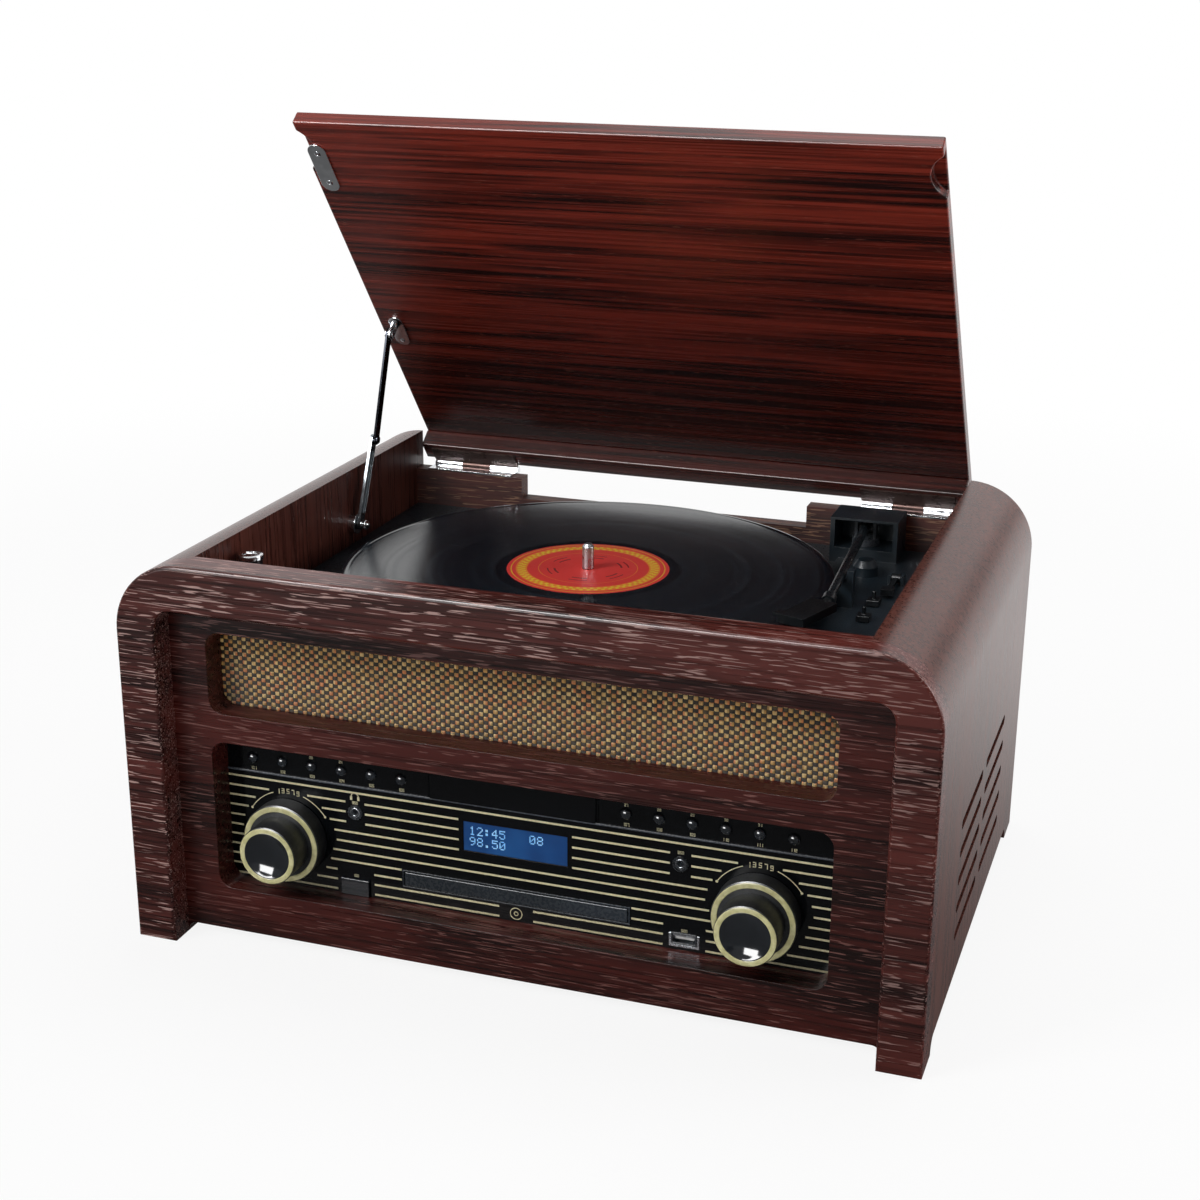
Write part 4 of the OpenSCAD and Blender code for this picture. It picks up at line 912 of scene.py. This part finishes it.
carried("display_module", material("blue_backlight", backlight, Emission_Strength=0.12), 0.0002)
DOTS = {"0": "0e11131519110e", "1": "040c040404040e", "2": "0e11010204081f", "3": "1f02040201110e",
        "4": "02060a121f0202", "5": "1f101e0101110e", "6": "0608101e11110e", "7": "1f010204080808",
        "8": "0e11110e11110e", "9": "0e11110f01020c", ":": "000c0c000c0c00", ".": "00000000000c0c"}
CHARS_X, CHARS_Z, LETTER, LINE = -0.0345, 0.0895, 0.0046, 0.0067
DOT_X, DOT_Z = 0.00073, 0.00078
bm = bmesh.new()
GLASS = FASCIA + 0.0005
for row, text in enumerate(("12:45   08", "98.50")):
    for column, sign in enumerate(text):
        if sign == " ":
            continue
        for line in range(7):
            bits = int(DOTS[sign][line * 2:line * 2 + 2], 16)
            for bit in range(5):
                if bits >> (4 - bit) & 1:
                    x = CHARS_X + column * LETTER + bit * DOT_X
                    z = CHARS_Z - row * LINE - line * DOT_Z
                    block(bm, (x, GLASS - 0.0001, z - 0.00066), (x + 0.00062, GLASS + 0.0001, z))


def dots_lit(s):
    glow = s.place().noise(200, 1).step(0.3, 0.7).mix(tint("6fb4ea"), tint("93cdf5"))
    return {"Base Color": glow, "Emission Color": glow, "Roughness": s.place().noise(300, 1) * 0.1 + 0.3}


lit_dots = material("lit_dots", dots_lit, Emission_Strength=0.45)
finished(from_bmesh("display_characters", bm), lit_dots, "cabinet")

# The disc drawer and its mechanism.
# A moulded tray with a slim front, which runs in a folded steel housing behind the fascia.
drawer_black = material("drawer_black", moulded("272d33", "343b43", (0.25, 0.3), 500, 0.005),
                        Specular_IOR_Level=0.4)
carried("cd_drawer", drawer_black, 0.0005, steps=3)
low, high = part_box("cd_drawer")
TRIM_FRONT, TRIM_BACK = FASCIA - 0.0007, FASCIA + 0.0003
rails = [((low.x - 0.0016, TRIM_FRONT, z), (high.x + 0.0016, TRIM_BACK, z + 0.0009), 0.0002)
         for z in (low.z - 0.0014, high.z + 0.0005)]
stiles = [((x, TRIM_FRONT, low.z - 0.0006), (x + 0.0010, TRIM_BACK, high.z + 0.0006), 0.0002)
          for x in (low.x - 0.0016, high.x + 0.0006)]
trim_slate = material("trim_slate", moulded("1c2229", "2a323b", (0.2, 0.3), 500, 0.04))
finished(blocks("drawer_trim", *rails, *stiles), trim_slate, "cabinet")
zinc = material("zinc_plate", plated("8b9096", 0.3, 0.5), Metallic=1.0)
carried("cd_mechanism", zinc, 0.0004)

# The sockets on the front and the back.
# Nickel shells in black insulation: a headphone jack, a line input and a data port in front, and a mains
# inlet, an aerial socket and two line outputs behind.
carried("front_sockets", material("nickel_shell", plated("b4b8bd", 0.18, 0.32), Metallic=1.0), 0.0003)
tongue = blocks("port_tongue", ((USB_X - 0.0056, FASCIA + 0.001, SILL + 0.0063),
                                (USB_X + 0.0056, FASCIA + 0.009, SILL + 0.0082), 0.0003))
finished(tongue, material("port_white", moulded("e4e4e2", "f4f4f2", (0.3, 0.4))), "cabinet")
socket_black = material("socket_black", moulded("1a1e22", "2c3137", (0.2, 0.3)), Specular_IOR_Level=0.7)
bars = [((USB_X + x0 * MM, FASCIA - 0.0008, SILL + z0 * MM),
         (USB_X + x1 * MM, FASCIA + 0.0003, SILL + z1 * MM), 0.0003)
        for x0, x1, z0, z1 in ((-7.6, -6.5, 3.7, 10.9), (6.5, 7.6, 3.7, 10.9), (-7.6, 7.6, 9.9, 10.9),
                               (-7.6, 7.6, 3.7, 4.7))]
finished(blocks("port_frame", *bars), socket_black, "cabinet")
for name, x in (("phones_ring", PHONES), ("line_in_ring", LINE_IN)):
    ring = turned(name, [(1.85, 0.6), (2.1, 1.1), (2.5, 1.1), (2.7, 0.7), (3.3, 0.7), (3.6, 1.2), (4.2, 1.2),
                          (4.6, 0.7), (4.7, 0.1), (1.85, 0.1), (1.85, 0.6)],
                  (x, FASCIA, JACK_Z), "y", 48)
    finished(ring, socket_black, "cabinet")
carried("rear_sockets", material("rear_socket_black", moulded("16171a", "242528", (0.3, 0.42))), 0.0005)

# The works inside: board, loudspeakers and mains transformer.
# A green printed board behind the fascia, two paper-coned loudspeakers behind the side slots, and a
# laminated transformer on the base.


def tracks(s):
    p = s.place()
    lines = p.sums("MAXIMUM", (p.axis("X") * 420) % 1 > 0.72, (p.axis("Z") * 310) % 1 > 0.78)
    keep = p.noise(60, 1).step(0.45, 0.5)
    return {"Base Color": (lines * keep * 0.6).mix(tint("1d5433"), tint("4f9a62")),
            "Roughness": p.noise(300, 1) * 0.1 + 0.35, "Height": (lines * keep, 0.3, 0.0002)}


carried("main_board", material("board_green", tracks), 0.0002)


def cone_paper(s):
    p = s.place()
    fibre = p.noise(900, 3)
    return {"Base Color": fibre.step(0.3, 0.7).mix(tint("141516"), tint("26282a")),
            "Roughness": fibre * 0.15 + 0.72, "Height": (fibre, 0.4, 0.0004)}


paper_black = material("cone_paper", cone_paper)
for node in ("left_speaker", "right_speaker"):
    carried(node, paper_black, 0.0003)


def lamination(s):
    p = s.place()
    sheets = (p.axis("Y") * 1400) % 1 > 0.3
    return {"Base Color": sheets.mix(tint("3d4044"), tint("777b80")),
            "Roughness": p.noise(300, 2) * 0.2 + 0.35, "Height": (sheets, 0.3, 0.0002)}


carried("power_supply", material("laminated_steel", lamination, Metallic=0.8), 0.0005)
